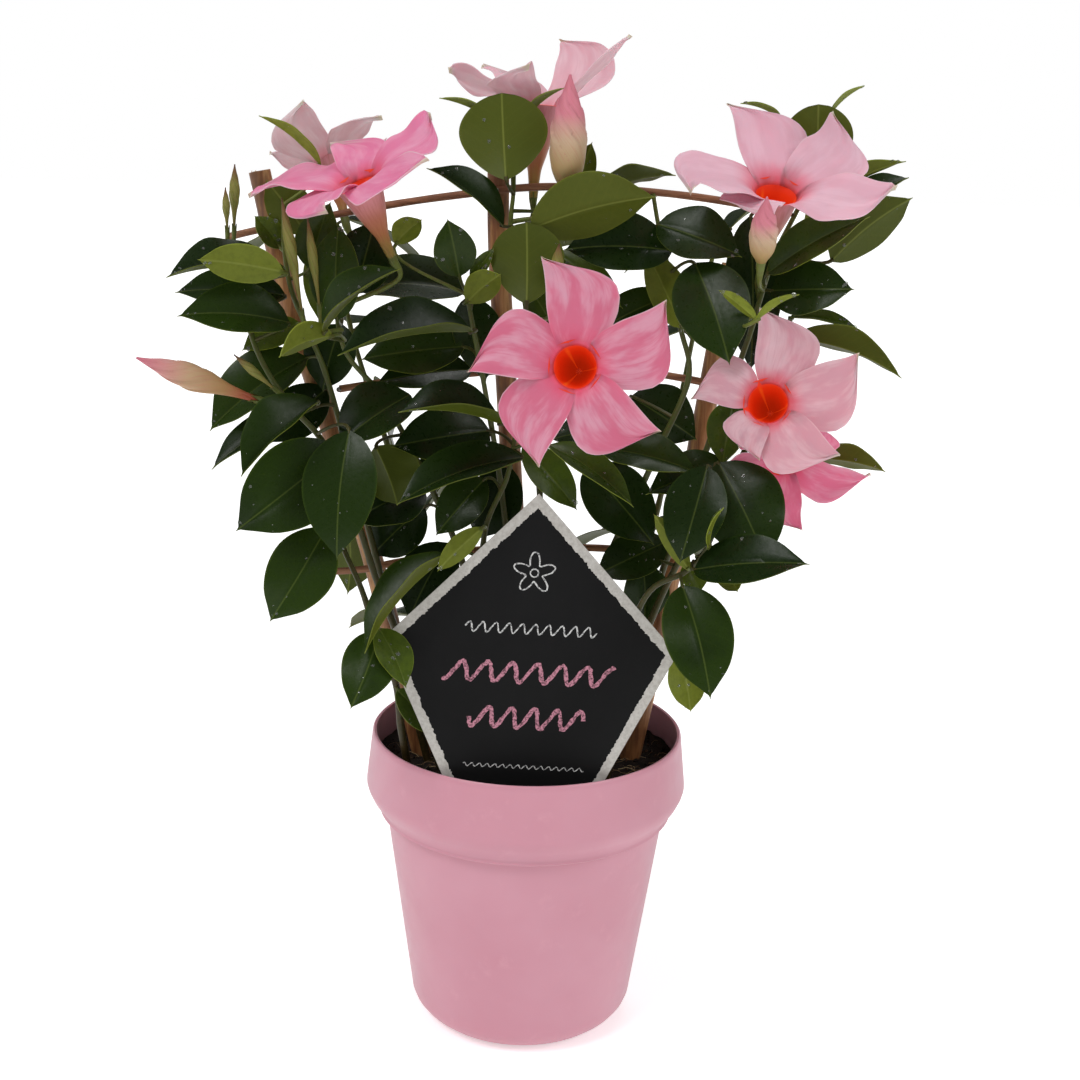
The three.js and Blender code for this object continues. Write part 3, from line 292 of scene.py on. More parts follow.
# blooms: shoot, mouth of the tube x z y, axis out of the mouth, turn of the first lobe, size, flare,
# then for each lobe, counter-clockwise, its reach, its bend and how far it swings round
BLOOMS = {
    "front": ["centre_front", 20, 367, -98, [-0.1, -0.97, 0.2], 16, 1, 84,
        [[0.97, 0], [0.98, 0], [0.92, 0, 4], [0.92, 0], [0.94, 0]]],
    "right": ["right_front", 122, 351, -74, [-0.2, -0.92, 0.34], 16, 0.95, 72,
        [[0.97, 0, -8], [0.88, -6, -12], [0.68, 10], [0.5, 60, 10], [0.85, 40]]],
    "low_right": ["right_front", 133, 320, -50, [0.06, -0.85, -0.5], -20, 0.78, 70,
        [[1.05, 0], [0.8, 0], [0.8, 0], [0.9, 0], [1, 0]]],
    "top_right": ["right_tall", 120, 459, -54, [0.06, -0.52, 0.85], -36, 0.98, 64,
        [[1.1, 14, 0], [1.05, -10, -10, 1.05], [0.98, -34, -18, 1.2], [1.22, 0, 8, 1.2], [0.8, 26, -22]]],
    "top": ["centre_tall", -3, 496, 6, [0.02, 0.1, 0.99], 0, 1, 50,
        [[0.95, 42, 8], [0.75, 36, 0, 0.9], [1.28, -22, 24, 0.5], [1.27, -46, 18, 0.9], [0.98, -8, 12]]],
    "left": ["centre_left", -93, 458, -60, [-0.36, -0.34, 0.87], -12, 0.95, 72,
        [[1, 16], [1, 12], [0.75, 0], [1, -2, -4, 1.3], [0.85, 24, 0, 1.3]]],
    "left_rear": ["left_rear", -106, 467, 16, [-0.25, 0.42, 0.87], 30, 0.78, 60,
        [[1.05, -8], [0.85, 14], [0.9, 0], [0.9, 0], [0.75, 20]]],
}

# closed flowers: shoot, base x z y, tip x z y, thickness
BUDS = {
    "left": ["left_front", -143, 344, -54, -209, 365.5, -78, 13.5],
    "left_small": ["left_front", -136, 350, -56, -158, 368.5, -64, 4.6],
    "tall_a": ["left_front", -156.5, 432, -32, -155.5, 465, -32, 5.6],
    "tall_b": ["left_front", -160, 431, -38, -160.5, 453.5, -38, 4],
    "slender_a": ["left_rear", -122, 390, -56, -132, 449, -62, 6],
    "slender_b": ["centre_left", -113, 393, -52, -119, 440, -54, 5],
    "middle": ["centre_tall", 13, 457, -38, 13, 513, -38, 18.5],
    "middle_small": ["centre_tall", 8, 404, -58, 10, 430, -60, 6.5],
    "right": ["right_tall", 114, 424, -70, 115, 456, -86, 13],
}


# ---------------------------------------------------------------- lines and skins
def unit(v):
    return v / np.linalg.norm(v)


def smoothstep(value, low, high):
    share = np.clip((value - low) / (high - low), 0, 1)
    return share * share * (3 - 2 * share)


def turns(sides):
    """Angles of so many sides, once round."""
    return np.linspace(0, 2 * math.pi, sides, endpoint=False)


def eased(track, span):
    """A track of numbers, each the mean of the span of them round it."""
    return np.convolve(np.pad(track, span // 2, mode="edge"), np.ones(span) / span, mode="valid")


def square_to(axis):
    """Two directions square to an axis and to each other."""
    first = unit(np.cross(axis, UP if abs(axis[2]) < 0.9 else np.array((1.0, 0, 0))))
    return first, np.cross(axis, first)


class SmoothLine:
    """A curve through points, walked by share of its length, as the solids' curves are."""

    DIVISIONS = 200

    def __init__(self, points):
        self.points = points
        self.shares = np.linspace(0, 1, self.DIVISIONS + 1)
        walked = np.array([self.at_knot(s) for s in self.shares])
        steps = np.linalg.norm(np.diff(walked, axis=0), axis=1)
        self.lengths = np.concatenate(([0.0], np.cumsum(steps)))
        self.length = self.lengths[-1]

    def at_knot(self, share):
        points = self.points
        last = len(points) - 1
        first = min(int(share * last), last - 1)
        weight = share * last - first
        p1, p2 = points[first], points[first + 1]
        p0 = points[first - 1] if first > 0 else 2 * p1 - p2
        p3 = points[first + 2] if first + 2 <= last else 2 * p2 - p1
        d0, d1, d2 = (np.linalg.norm(b - a) ** 0.5 for a, b in ((p0, p1), (p1, p2), (p2, p3)))
        start = ((p1 - p0) / d0 - (p2 - p0) / (d0 + d1) + (p2 - p1) / d1) * d1
        end = ((p2 - p1) / d1 - (p3 - p1) / (d1 + d2) + (p3 - p2) / d2) * d1
        square, cube = weight**2, weight**3
        return (
            p1 * (1 - 3 * square + 2 * cube)
            + p2 * (3 * square - 2 * cube)
            + start * (weight - 2 * square + cube)
            + end * (cube - square)
        )

    def at(self, share):
        return self.at_knot(float(np.interp(share * self.length, self.lengths, self.shares)))

    def walk(self, steps):
        return np.array([self.at(s / steps) for s in range(steps + 1)])


def line_through(places):
    """A smooth line through places as the lists give them."""
    return SmoothLine([place(*spot) for spot in places])


def rings_along(path, radii, sides, across=None):
    """Points of a round skin along a path, turned as little as can be from ring to ring.
    across gives for each ring and side a factor on the radius."""
    heading = np.gradient(path, axis=0)
    heading /= np.linalg.norm(heading, axis=1)[:, None]
    normal = square_to(heading[0])[0]
    angles = turns(sides)
    rings = []
    for i, (centre, ahead) in enumerate(zip(path, heading)):
        normal = unit(normal - ahead * normal.dot(ahead))
        out = np.outer(np.cos(angles), normal) + np.outer(np.sin(angles), np.cross(ahead, normal))
        reach = np.full(sides, radii[i]) if across is None else radii[i] * across[i]
        rings.append(centre + out * reach[:, None])
    return np.array(rings)


def marks_on(grid, across=0, along=0, tone=0):
    """What each point of a grid is painted by: its place across and along the piece, and a tone."""
    marks = np.empty((*grid.shape[:2], 3))
    marks[..., 0] = across
    marks[..., 1] = along
    marks[..., 2] = tone
    return marks


UNMARKED = (0, 0, 0)
WELD = 2e-6  # metres
CREASE = 55  # degrees between faces past which an edge shows


class Skin:
    """One piece while it grows: its points, faces, painted marks and material slots."""

    def __init__(self):
        self.points = []
        self.faces = []
        self.marks = []
        self.slots = []
        self.count = 0

    def add(self, points, faces, marks, slot):
        self.points.append(points)
        self.marks.append(np.broadcast_to(np.asarray(marks, float), (len(points), 3)))
        self.faces.extend([tuple(i + self.count for i in face) for face in faces])
        self.slots.extend([slot] * len(faces))
        self.count += len(points)

    def add_sheet(self, grid, marks, slot, flip=False, closed=False):
        """A grid of points, rows by columns; closed joins its last column to its first."""
        rows, columns = grid.shape[:2]
        faces = []
        for r in range(rows - 1):
            for c in range(columns if closed else columns - 1):
                a, b = r * columns + c, r * columns + (c + 1) % columns
                quad = (a, b, b + columns, a + columns)
                faces.append(quad[::-1] if flip else quad)
        self.add(grid.reshape(-1, 3), faces, np.broadcast_to(marks, grid.shape).reshape(-1, 3), slot)

    def add_fan(self, ring, mark, slot, flip=False, middle=None):
        """Closes a ring of points with triangles round its middle."""
        sides = len(ring)
        fan = [(i, (i + 1) % sides, sides) for i in range(sides)]
        middle = ring.mean(axis=0) if middle is None else middle
        self.add(np.concatenate((ring, [middle])), [f[::-1] for f in fan] if flip else fan, mark, slot)

    def add_tube(self, rings, marks, slot, end_slot=None):
        """A closed skin over rings, with a point in the middle of each end."""
        marks = np.broadcast_to(marks, rings.shape)
        self.add_sheet(rings, marks, slot, closed=True)
        for end in (0, -1):
            self.add_fan(rings[end], marks[end, end], slot if end_slot is None else end_slot, flip=end == 0)

    def mesh(self, name, materials):
        """The Blender mesh, in metres: edges that meet are joined, and every face looks outward."""
        mesh = bpy.data.meshes.new(name)
        mesh.from_pydata((np.concatenate(self.points) * MM).tolist(), [], self.faces)
        mark = mesh.attributes.new("mark", "FLOAT_VECTOR", "POINT")
        mark.data.foreach_set("vector", np.concatenate(self.marks).ravel())
        mesh.polygons.foreach_set("material_index", self.slots)
        for material in materials:
            mesh.materials.append(material)
        mesh.update()
        body = bmesh.new()
        body.from_mesh(mesh)
        bmesh.ops.remove_doubles(body, verts=body.verts, dist=WELD)
        bmesh.ops.recalc_face_normals(body, faces=body.faces)
        body.to_mesh(mesh)
        body.free()
        mesh.shade_smooth()
        mesh.set_sharp_from_angle(angle=math.radians(CREASE))
        return mesh


def put(name, skin, materials, node):
    """Stands a finished skin in the scene for the node that it replaces."""
    piece = bpy.data.objects.new(name, skin.mesh(name, materials))
    bpy.context.scene.collection.objects.link(piece)
    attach(piece, "root")
    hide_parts(node)


# ---------------------------------------------------------------- what the solids found room for
TIE = 0.02  # a later shift has to bring the tip closer than the earlier ones by this much


def corners_of(node):
    """A look-up of the corners of a solid, in millimetres."""
    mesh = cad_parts[node].data
    tree = KDTree(len(mesh.vertices))
    for i, vertex in enumerate(mesh.vertices):
        tree.insert(vertex.co / MM, i)
    tree.balance()
    return tree


def settled(corners, base, tip, shifts, limit):
    """Base and tip of a leaf or bud after the shift in depth that brings its tip onto a corner of its
    solid; unshifted where none does within the limit."""
    best = (limit + TIE, place(*base), place(*tip))
    for base_shift, tip_shift in shifts:
        moved_tip = place(tip[0], tip[1], tip[2] + tip_shift)
        away = corners.find(Vector(moved_tip))[2]
        if away < best[0] - TIE:
            best = (away, place(base[0], base[1], base[2] + base_shift), moved_tip)
    return best[1:]


# ---------------------------------------------------------------- stems and stalks
STEM_LINES = {name: line_through(places) for name, places in SHOOTS.items()}
STEM, LEAF_TOP, LEAF_UNDER, DROP = range(4)
STEM_ROW = 4  # between the rings of points of a stem
JOINT_SPACING = 34  # between its swollen joints
JOINT_SWELL = 0.22


def stem_point(name, near, along):
    """Where a stalk leaves its stem: near to a point and a little below it."""
    line = STEM_LINES[name]
    corners = line.walk(math.ceil(line.length / STEM_STEP))
    best = (math.inf, None)
    for low, high in zip(corners, corners[1:]):
        for share in np.arange(0.05, 1, 0.1):
            at = low + (high - low) * share
            stalk = near - at
            turn = max(-stalk.dot(along), 0)
            away = np.linalg.norm(stalk) + turn + 0.25 * abs(at[2] - near[2] + STALK_DROP)
            if at[2] > LOWEST_STALK_Z and away < best[0]:
                best = (away, at)
    return best[1]


def add_stem(skin, name):
    line = STEM_LINES[name]
    steps, sides = int(line.length / STEM_ROW), 10
    path = line.walk(steps)
    shares = np.linspace(0, 1, steps + 1)
    past_joint = (shares * line.length) % JOINT_SPACING - JOINT_SPACING / 2
    radii = STEM_R + (STEM_TIP_R - STEM_R) * shares + JOINT_SWELL * np.exp(-((past_joint / 3.2) ** 2))
    rings = rings_along(path, radii, sides)
    marks = marks_on(rings, np.linspace(0, 1, sides), (shares * line.length)[:, None], path[:, 2:] / 500)
    skin.add_tube(rings, marks, STEM)


def add_stalk(skin, root, end, heading, radius, tone):
    """A leaf or flower stalk: leaves the stem, bends, and arrives along heading."""
    reach = np.linalg.norm(end - root)
    t = np.linspace(0, 1, 9)[:, None]
    out = root + (end - root) * 0.4 - heading * reach * 0.12 + UP * reach * 0.04
    into = end - heading * reach * 0.3
    path = (1 - t) ** 3 * root + 3 * (1 - t) ** 2 * t * out + 3 * (1 - t) * t**2 * into + t**3 * end
    rings = rings_along(path, radius * (1.25 - 0.3 * np.sin(np.pi * t[:, 0])), 7)
    skin.add_tube(rings, marks_on(rings, 0, t * reach, tone), STEM)


# ---------------------------------------------------------------- leaves
LEAF_SHARES = np.concatenate((np.linspace(0, 0.8, 18), np.linspace(0.84, 1, 9)))  # rows along a blade
LEAF_SIDES = np.array((-1, -0.93, -0.8, -0.6, -0.38, -0.16, 0, 0.16, 0.38, 0.6, 0.8, 0.93, 1))
LEAF_SKIN = 0.5
STALK_R = 0.85
BLUNT_LIFT = 176  # the leaf lifted past this shows a blunt heart from underneath
PALE_MARGIN = 0.3
# a leaf that would cross another piece was bent clear along the line of sight by one of these
BENDS = [(0, 0), (0, -6), (0, 6), (-4, -12), (4, 12), (-8, -8), (8, 8), (-8, -18), (8, 18), (-14, -14),
         (14, 14), (-14, -26), (14, 26), (-22, -22), (22, 22), (-22, -36), (22, 36), (-32, -32), (32, 32)]
BEND_FOUND = 0.25  # how close a bent tip has to come to a corner of its solid


def leaf_half(t, blunt):
    """Half width of a blade along its length: egg-shaped, with a short narrow drip tip."""
    if blunt:
        return np.sqrt(np.maximum(np.sin(np.pi * np.minimum(t, 1) ** 1.35), 0))
    body = np.maximum(np.sin(np.pi * np.minimum(t / 0.965, 1) ** 0.86), 0) ** 0.68
    drip = 0.07 * (1 - smoothstep(t, 0.93, 1)) * smoothstep(t, 0.6, 0.93)
    return np.maximum(body * (1 - 0.3 * smoothstep(t, 0.76, 0.97)), drip)


def leaf_face(base, along, lift):
    """The way that the upper face of a leaf looks."""
    sight = VIEW_POINT - base
    sight = unit(sight - along * sight.dot(along))
    up = np.cross(along, sight)
    if up[2] < 0:
        up = -up
    angle = math.radians(lift)
    return sight * math.cos(angle) + up * math.sin(angle)


def leaf_blade(base, tip, width, lift, fold, rng):
    """Grid of the upper face of a blade, the way it looks, and how far each point lies out from the
    midrib and along it."""
    length = np.linalg.norm(tip - base)
    along = (tip - base) / length
    face = leaf_face(base, along, lift)
    side = np.cross(along, face)
    half = (width / 2) * leaf_half(LEAF_SHARES, lift > BLUNT_LIFT)
    half = np.maximum(half, STALK_R * (1 - smoothstep(LEAF_SHARES, 0.0, 0.12)))
    waves = rng.uniform(1.2, 2.4)
    swing = rng.uniform(0.012, 0.03) * width
    left, right = rng.uniform(0, 2 * math.pi, 2)
    uu, tt = np.meshgrid(LEAF_SIDES, LEAF_SHARES)
    out = uu * half[:, None]
    phase = np.where(uu < 0, left, right)
    ripple = swing * uu**2 * np.sin(2 * math.pi * waves * tt + phase) * np.sin(np.pi * tt)
    rise = np.abs(out) * math.sin(math.radians(fold)) * (1.12 - 0.24 * np.abs(uu))
    groove = 0.35 * np.exp(-((out / 0.9) ** 2)) * smoothstep(tt, 0, 0.1)
    arch = LEAF_ARCH * length * 4 * tt * (1 - tt)
    sway = 0.02 * length * rng.uniform(-1, 1) * np.sin(np.pi * tt)
    across = out * math.cos(math.radians(fold)) + sway
    over = rise + ripple + arch - groove
    grid = base + (along * length) * tt[..., None] + side * across[..., None] + face * over[..., None]
    return grid, face, out, tt * length


def add_rim(skin, top, under, marks, slot):
    """The thin edge all round a blade, from its upper face to its under face."""
    sides = [(0, slice(None)), (slice(None), -1), (-1, slice(None, None, -1)), (slice(None, None, -1), 0)]
    loops = [np.concatenate([grid[side][:-1] for side in sides]) for grid in (top, under, marks)]
    skin.add_sheet(np.stack(loops[:2]), np.stack(loops[2:] * 2), slot, flip=True, closed=True)


def add_leaf(skin, root, base, tip, width, lift, fold, rng):
    """A leaf on its stalk; gives the grid of its upper face."""
    grid, face, out, down = leaf_blade(base, tip, width, lift, fold, rng)
    young = np.clip((30 - width) / 26, 0, 0.7)
    tone = np.clip(young + rng.uniform(-0.15, 0.34), 0, 1)
    marks = marks_on(grid, out, down, tone + PALE_MARGIN * (np.abs(LEAF_SIDES) > 0.97))
    under = grid - face * LEAF_SKIN
    skin.add_sheet(grid, marks, LEAF_TOP)
    skin.add_sheet(under, marks, LEAF_UNDER, flip=True)
    add_rim(skin, grid, under, marks, LEAF_UNDER)
    heading = unit(tip - base)
    add_stalk(skin, root, base + heading * 1.5 - face * 0.4, heading, STALK_R, 0.5 + 0.5 * tone)
    return grid


def seeded(seed):
    """Draws from 0 to 1, the same ones each time."""
    state = seed
    while True:
        state = (state * 48271) % 2147483647
        yield state / 2147483647


def seen_from(point):
    """A point as the lists give it: x and z where its line of sight crosses y = 0, then its y."""
    reach = (point[1] - VIEW_POINT[1]) / -VIEW_POINT[1]
    seen = (point - VIEW_POINT) / reach + VIEW_POINT
    return [seen[0], seen[2], point[1]]


GOLDEN_TURN = math.radians(137.5)


def rear_leaves():
    """Opposite pairs up the rear stems, each pair turned from the one below."""
    draw = seeded(REAR_SEED)
    leaves = {}
    for name in REAR_STEMS:
        leaves[name] = []
        for pair in range(REAR_PAIRS):
            share = REAR_FIRST + ((0.98 - REAR_FIRST) * pair) / (REAR_PAIRS - 1)
            node = STEM_LINES[name].at(share)
            for hand in range(2):
                spin = (next(draw) - 0.5) * 0.5 + GOLDEN_TURN * pair + math.pi * hand
                out = unit(np.array((math.cos(spin), 0.55 + 0.75 * abs(math.sin(spin)), 0)))
                length = REAR_LENGTH * (0.85 + 0.3 * next(draw))
                base = node + out * 9 + UP * 6
                tip = base + out * length * 0.86 + UP * length * (next(draw) * 0.9 - 0.55)
                leaves[name].append([*seen_from(base), *seen_from(tip), length * REAR_WIDTH, 90, 16])
    return leaves


# ---------------------------------------------------------------- blooms
PETAL_FRONT, PETAL_BACK, THROAT, TUBE = range(4)
PETAL_COLUMNS = 17
PETAL_SKIN = 0.4
PETAL_RUFFLE = 1.8
PETAL_CREASE = 1.1
PETAL_FOLD = 1.6
# edges of a lobe: share of the reach, then how far its trailing and its leading edge stand to the
# side; the trailing edge bulges, and the leading one runs straight to the point
PETAL_EDGES = [
    (0, -6.6, 6.6), (0.12, -11.0, 9.8), (0.3, -16.0, 13.2), (0.48, -18.3, 14.9), (0.66, -18.7, 16.0),
    (0.8, -16.8, 16.9), (0.88, -13.6, 17.5), (0.94, -9.0, 18.1), (0.97, -5.0, 18.4), (0.99, 0.3, 18.7),
    (1.005, 8.0, 18.9), (1.015, 13.5, 19.1), (1.03, 17.0, 19.3), (1.05, 19.3, 19.5),
]
PETAL_SHARES = np.concatenate((np.linspace(0, 0.84, 19), np.linspace(0.87, 1.05, 15)))
LOBE_STEP = 10  # keeps the marks of a bloom's lobes apart, so that each has its own clouds
# how deep the pink of each bloom is, from 0 to 1
BLUSH = {"front": 0.8, "right": 0.3, "low_right": 1.0, "top_right": 0.4, "top": 0.2, "left": 0.7,
         "left_rear": 0.0}


def petal_edges():
    """Trailing and leading edge of a lobe at each row, run smooth."""
    shares, *edges = np.array(PETAL_EDGES, float).T
    fine = np.linspace(0, 1.05, 210)
    return [np.interp(PETAL_SHARES, fine, eased(np.interp(fine, shares, edge), 9)) for edge in edges]


def petal_spine(reaches, flare, bend):
    """Middle line of a lobe, as distance out from the axis and up along it, and its lean."""
    fine = np.linspace(0, reaches[-1] + 0.02, 160)
    middle = (fine[1:] + fine[:-1]) / 2
    opening = 35 + (flare - 35) * smoothstep(middle, 0, 0.35)
    angle = np.radians(opening + (bend + 12) * middle**2)
    step = PETAL_LENGTH * np.diff(fine)
    out = MOUTH_R - 1.6 + np.concatenate(([0], np.cumsum(step * np.sin(angle))))
    up = -2.5 + np.concatenate(([0], np.cumsum(step * np.cos(angle))))
    lean = np.concatenate((angle[:1], angle))
    return [np.interp(reaches, fine, track) for track in (out, up, lean)]


def bloom_frame(axis):
    forward = unit(np.array(axis, float))
    right = unit(-np.cross(forward, UP))
    return forward, right, -np.cross(right, forward)


def petal_sheet(directions, mouth, turn, size, flare, lobe, rng):
    """Front face of a lobe as a grid, the way it faces at each row, and u and s of each point."""
    forward, right, up = directions
    reach, bend, swing, breadth = lobe + [0, 1][len(lobe) - 2:]
    angle = math.radians(turn + swing)
    radial = right * math.cos(angle) + up * math.sin(angle)
    around = -right * math.sin(angle) + up * math.cos(angle)
    wide = size * breadth * (0.4 + 0.6 * reach)
    trailing, leading = [edge[:, None] * wide for edge in petal_edges()]
    out, rise, lean = [track[:, None] for track in petal_spine(PETAL_SHARES * reach, flare, bend)]
    uu, ss = np.meshgrid(np.linspace(-1, 1, PETAL_COLUMNS), PETAL_SHARES)
    lateral = trailing + (leading - trailing) * (uu + 1) / 2
    off_middle = lateral - np.clip(0, trailing, leading)
    inner = -radial * np.cos(lean) + forward * np.sin(lean)
    centre = mouth + radial * out * size + forward * rise * size
    side = around + inner * PETAL_TILT * np.minimum(2 * ss[:, :1], 1)
    side /= np.linalg.norm(side, axis=1)[:, None]
    phase, beat = rng.uniform(0, 2 * math.pi), rng.uniform(1.0, 1.7)
    ruffle = PETAL_RUFFLE * (np.sin(2 * math.pi * beat * ss + phase + 1.2 * uu) * uu**2 - 1)
    crease = PETAL_CREASE * np.sin(3.4 * uu + phase) * (1 - uu**2)
    fold = -PETAL_FOLD * np.exp(-(((uu - 0.2) / 0.22) ** 2)) * smoothstep(ss, 0.3, 0.9)
    play = (ruffle + crease + fold) * size * breadth * smoothstep(ss, 0.2, 0.75)
    over = np.abs(off_middle) * PETAL_DISH + play
    flat = centre[:, None] + side[:, None] * lateral[..., None] + inner[:, None] * over[..., None]
    # near the throat the lobe is still part of the round mouth
    bow = lateral / (out * size)
    spoke = radial * np.cos(bow)[..., None] + around * np.sin(bow)[..., None]
    round_mouth = mouth + spoke * (out * size)[..., None] + forward * (rise * size)[..., None]
    share = smoothstep(ss, 0.02, 0.42)[..., None]
    return round_mouth * (1 - share) + flat * share, inner, uu, ss


def add_petal(skin, front, inner, marks):
    back = front - inner[:, None] * PETAL_SKIN
    skin.add_sheet(front, marks, PETAL_FRONT)
    skin.add_sheet(back, marks, PETAL_BACK, flip=True)
    add_rim(skin, front, back, marks, PETAL_FRONT)


# the tube of a bloom: height from its mouth, radius
TUBE_OUTSIDE = [(-44, 2.2), (-38, 2.6), (-30, 3.4), (-24, 5.4), (-13, 8.8), (-5, 10.6), (-1.5, 11.8),
                (0.4, 12.9)]
TUBE_INSIDE = [(-28, 1.2), (-22, 4.4), (-13, 7.9), (-6, 9.3), (-2.5, 10.3), (0, 12.0), (0.6, 12.7)]
TUBE_SIDES = 48


def add_funnel(skin, directions, mouth, size, blush):
    """The tube of a bloom: outside up to the mouth, then back down the throat."""
    forward, right, up = directions
    angles = turns(TUBE_SIDES)
    spokes = np.outer(np.cos(angles), right) + np.outer(np.sin(angles), up)
    lobed = 1 + 0.03 * np.cos(5 * angles)
    lips = []
    for profile, slot, inward in ((TUBE_OUTSIDE, TUBE, False), (TUBE_INSIDE, THROAT, True)):
        heights, reaches = np.array(profile, float).T
        walk = np.linspace(heights[0], heights[-1], 30)
        width = eased(np.interp(walk, heights, reaches), 3)
        out = spokes * (width[:, None] * lobed * size)[..., None]
        grid = mouth + forward * (walk * size)[:, None, None] + out
        marks = marks_on(grid, angles / (2 * math.pi), (walk / TUBE_LENGTH)[:, None], blush)
        skin.add_sheet(grid, marks, slot, flip=inward, closed=True)
        skin.add_fan(grid[0], marks[0, 0], slot)
        lips.append((grid[-1], marks[-1]))
    grids, marks = zip(*lips)
    skin.add_sheet(np.stack(grids), np.stack(marks), THROAT, closed=True)


def bloom_skin(name, rng):
    _, x, z, y, axis, turn, size, flare, lobes = BLOOMS[name]
    mouth = place(x, z, y)
    directions = bloom_frame(axis)
    skin = Skin()
    add_funnel(skin, directions, mouth, size, BLUSH[name])
    for k, lobe in enumerate(lobes):
        front, inner, uu, ss = petal_sheet(directions, mouth, turn + 72 * k, size, flare, lobe, rng)
        add_petal(skin, front, inner, marks_on(front, uu + LOBE_STEP * k, ss, BLUSH[name]))
    return skin


# ---------------------------------------------------------------- buds
BUD_PROFILE = [(0, 0.2), (0.15, 0.27), (0.3, 0.46), (0.45, 0.84), (0.58, 1.0), (0.7, 0.86), (0.8, 0.62),
               (0.9, 0.32), (1, 0.05)]
FULL_BUD_PROFILE = [(0, 0.36), (0.08, 0.6), (0.16, 0.82), (0.3, 0.96), (0.45, 1.0), (0.58, 0.92),
                    (0.7, 0.74), (0.82, 0.46), (0.92, 0.22), (1, 0.05)]
FULL_BUDS = ["middle", "right"]
BUD_TWIST = 0.8
BUD_SIDES = 60
BUD_ROWS = 57
# a bud that would cross another piece was moved in depth by one of these
BUD_SHIFTS = [0, -5, 5, -10, 10, -16, 16, -24, 24]


def bud_skin(name, base, tip, thick):
    """A closed flower: five lobes furled round each other in a slow twist."""
    t = np.linspace(0, 1, BUD_ROWS)
    profile = FULL_BUD_PROFILE if name in FULL_BUDS else BUD_PROFILE
    radius = eased(np.interp(t, *zip(*profile)), 5) * thick / 2
    t = t[:, None]
    furl = (5 * turns(BUD_SIDES) / (2 * math.pi) + 5 * BUD_TWIST * t**1.5) % 1
    across = 1 + (0.82 + 0.2 * furl**0.6 - 1) * smoothstep(t, 0.15, 0.55)
    rings = rings_along(base + (tip - base) * t, np.maximum(radius, 0.35), BUD_SIDES, across)
    kind = 0 if thick < SMALL_BUD else 1 if name in FULL_BUDS else 0.5
    skin = Skin()
    skin.add_tube(rings, marks_on(rings, furl, t, kind), 0)
    return skin


def bud_place(name):
    """Base and tip of a bud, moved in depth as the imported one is."""
    shifts = [(shift, shift) for shift in BUD_SHIFTS]
    return settled(corners_of(f"bud_{name}"), BUDS[name][1:4], BUDS[name][4:7], shifts, math.inf)


# ---------------------------------------------------------------- pot
POT_SIDES = 144


def pot_profile():
    """Half section of the moulding in two runs: from the middle of its underside out and up to the rim,
    then back down inside."""
    outside = [
        (0, 0), (POT_FOOT_R - 1.5, 0), (POT_FOOT_R, 0.4),
        (54.6, 2.6), (58.2, 5.6), (60.9, 9.2), (62.2, 12.6),
        (POT_WALL_TOP_R - 0.3, POT_LIP_Z - 2.2), (POT_WALL_TOP_R, POT_LIP_Z - 0.3),
        (POT_LIP_R + 1.4, POT_LIP_Z), (POT_LIP_R + 2.2, POT_LIP_Z + 0.6),
        (POT_LIP_R + 2.1, POT_LIP_Z + 1.4), (POT_LIP_R + 1.8, POT_LIP_Z + 2.4),
        (POT_COLLAR_R - 2.9, POT_COLLAR_Z - 7.4), (POT_COLLAR_R - 0.9, POT_COLLAR_Z - 3.2),
        (POT_COLLAR_R - 0.3, POT_COLLAR_Z - 0.8), (POT_COLLAR_R - 0.4, POT_COLLAR_Z + 1.2),
        (POT_RIM_R + 0.3, POT_RIM_Z - 3.2), (POT_RIM_R, POT_RIM_Z - 1.0), (POT_RIM_R - 0.8, POT_RIM_Z - 0.1),
    ]
    inside = [
        (POT_RIM_R - POT_WALL, POT_RIM_Z - 0.4), (POT_COLLAR_R - POT_WALL - 1.0, POT_COLLAR_Z),
        (POT_COLLAR_R - POT_WALL - 3.4, POT_COLLAR_Z - 7), (POT_LIP_R - POT_WALL + 1.6, POT_LIP_Z + 3),
        (POT_WALL_TOP_R - POT_WALL, POT_LIP_Z - 1), (60.4, 13), (57.0, 6.8), (POT_FOOT_R - 6, POT_FLOOR),
        (0, POT_FLOOR),
    ]
    return outside, inside


def ring_at(reach, height, sides):
    angles = turns(sides)
    return np.column_stack((reach * np.cos(angles), reach * np.sin(angles), np.full(sides, height)))


def make_pot():
    outside, inside = pot_profile()
    rings = np.array([ring_at(reach, height, POT_SIDES) for reach, height in (outside + inside)[1:-1]])
    marks = marks_on(rings, turns(POT_SIDES), rings[..., 2])
    # the inner wall, which its material darkens with compost dust and painted shade
    marks[len(outside):, :, 2] = 1  # the inner wall
    skin = Skin()
    skin.add_sheet(rings, marks, 0, closed=True)
    add_pierced_disc(skin, rings[0], 0.0, True)
    add_pierced_disc(skin, rings[-1], POT_FLOOR, False)
    return skin


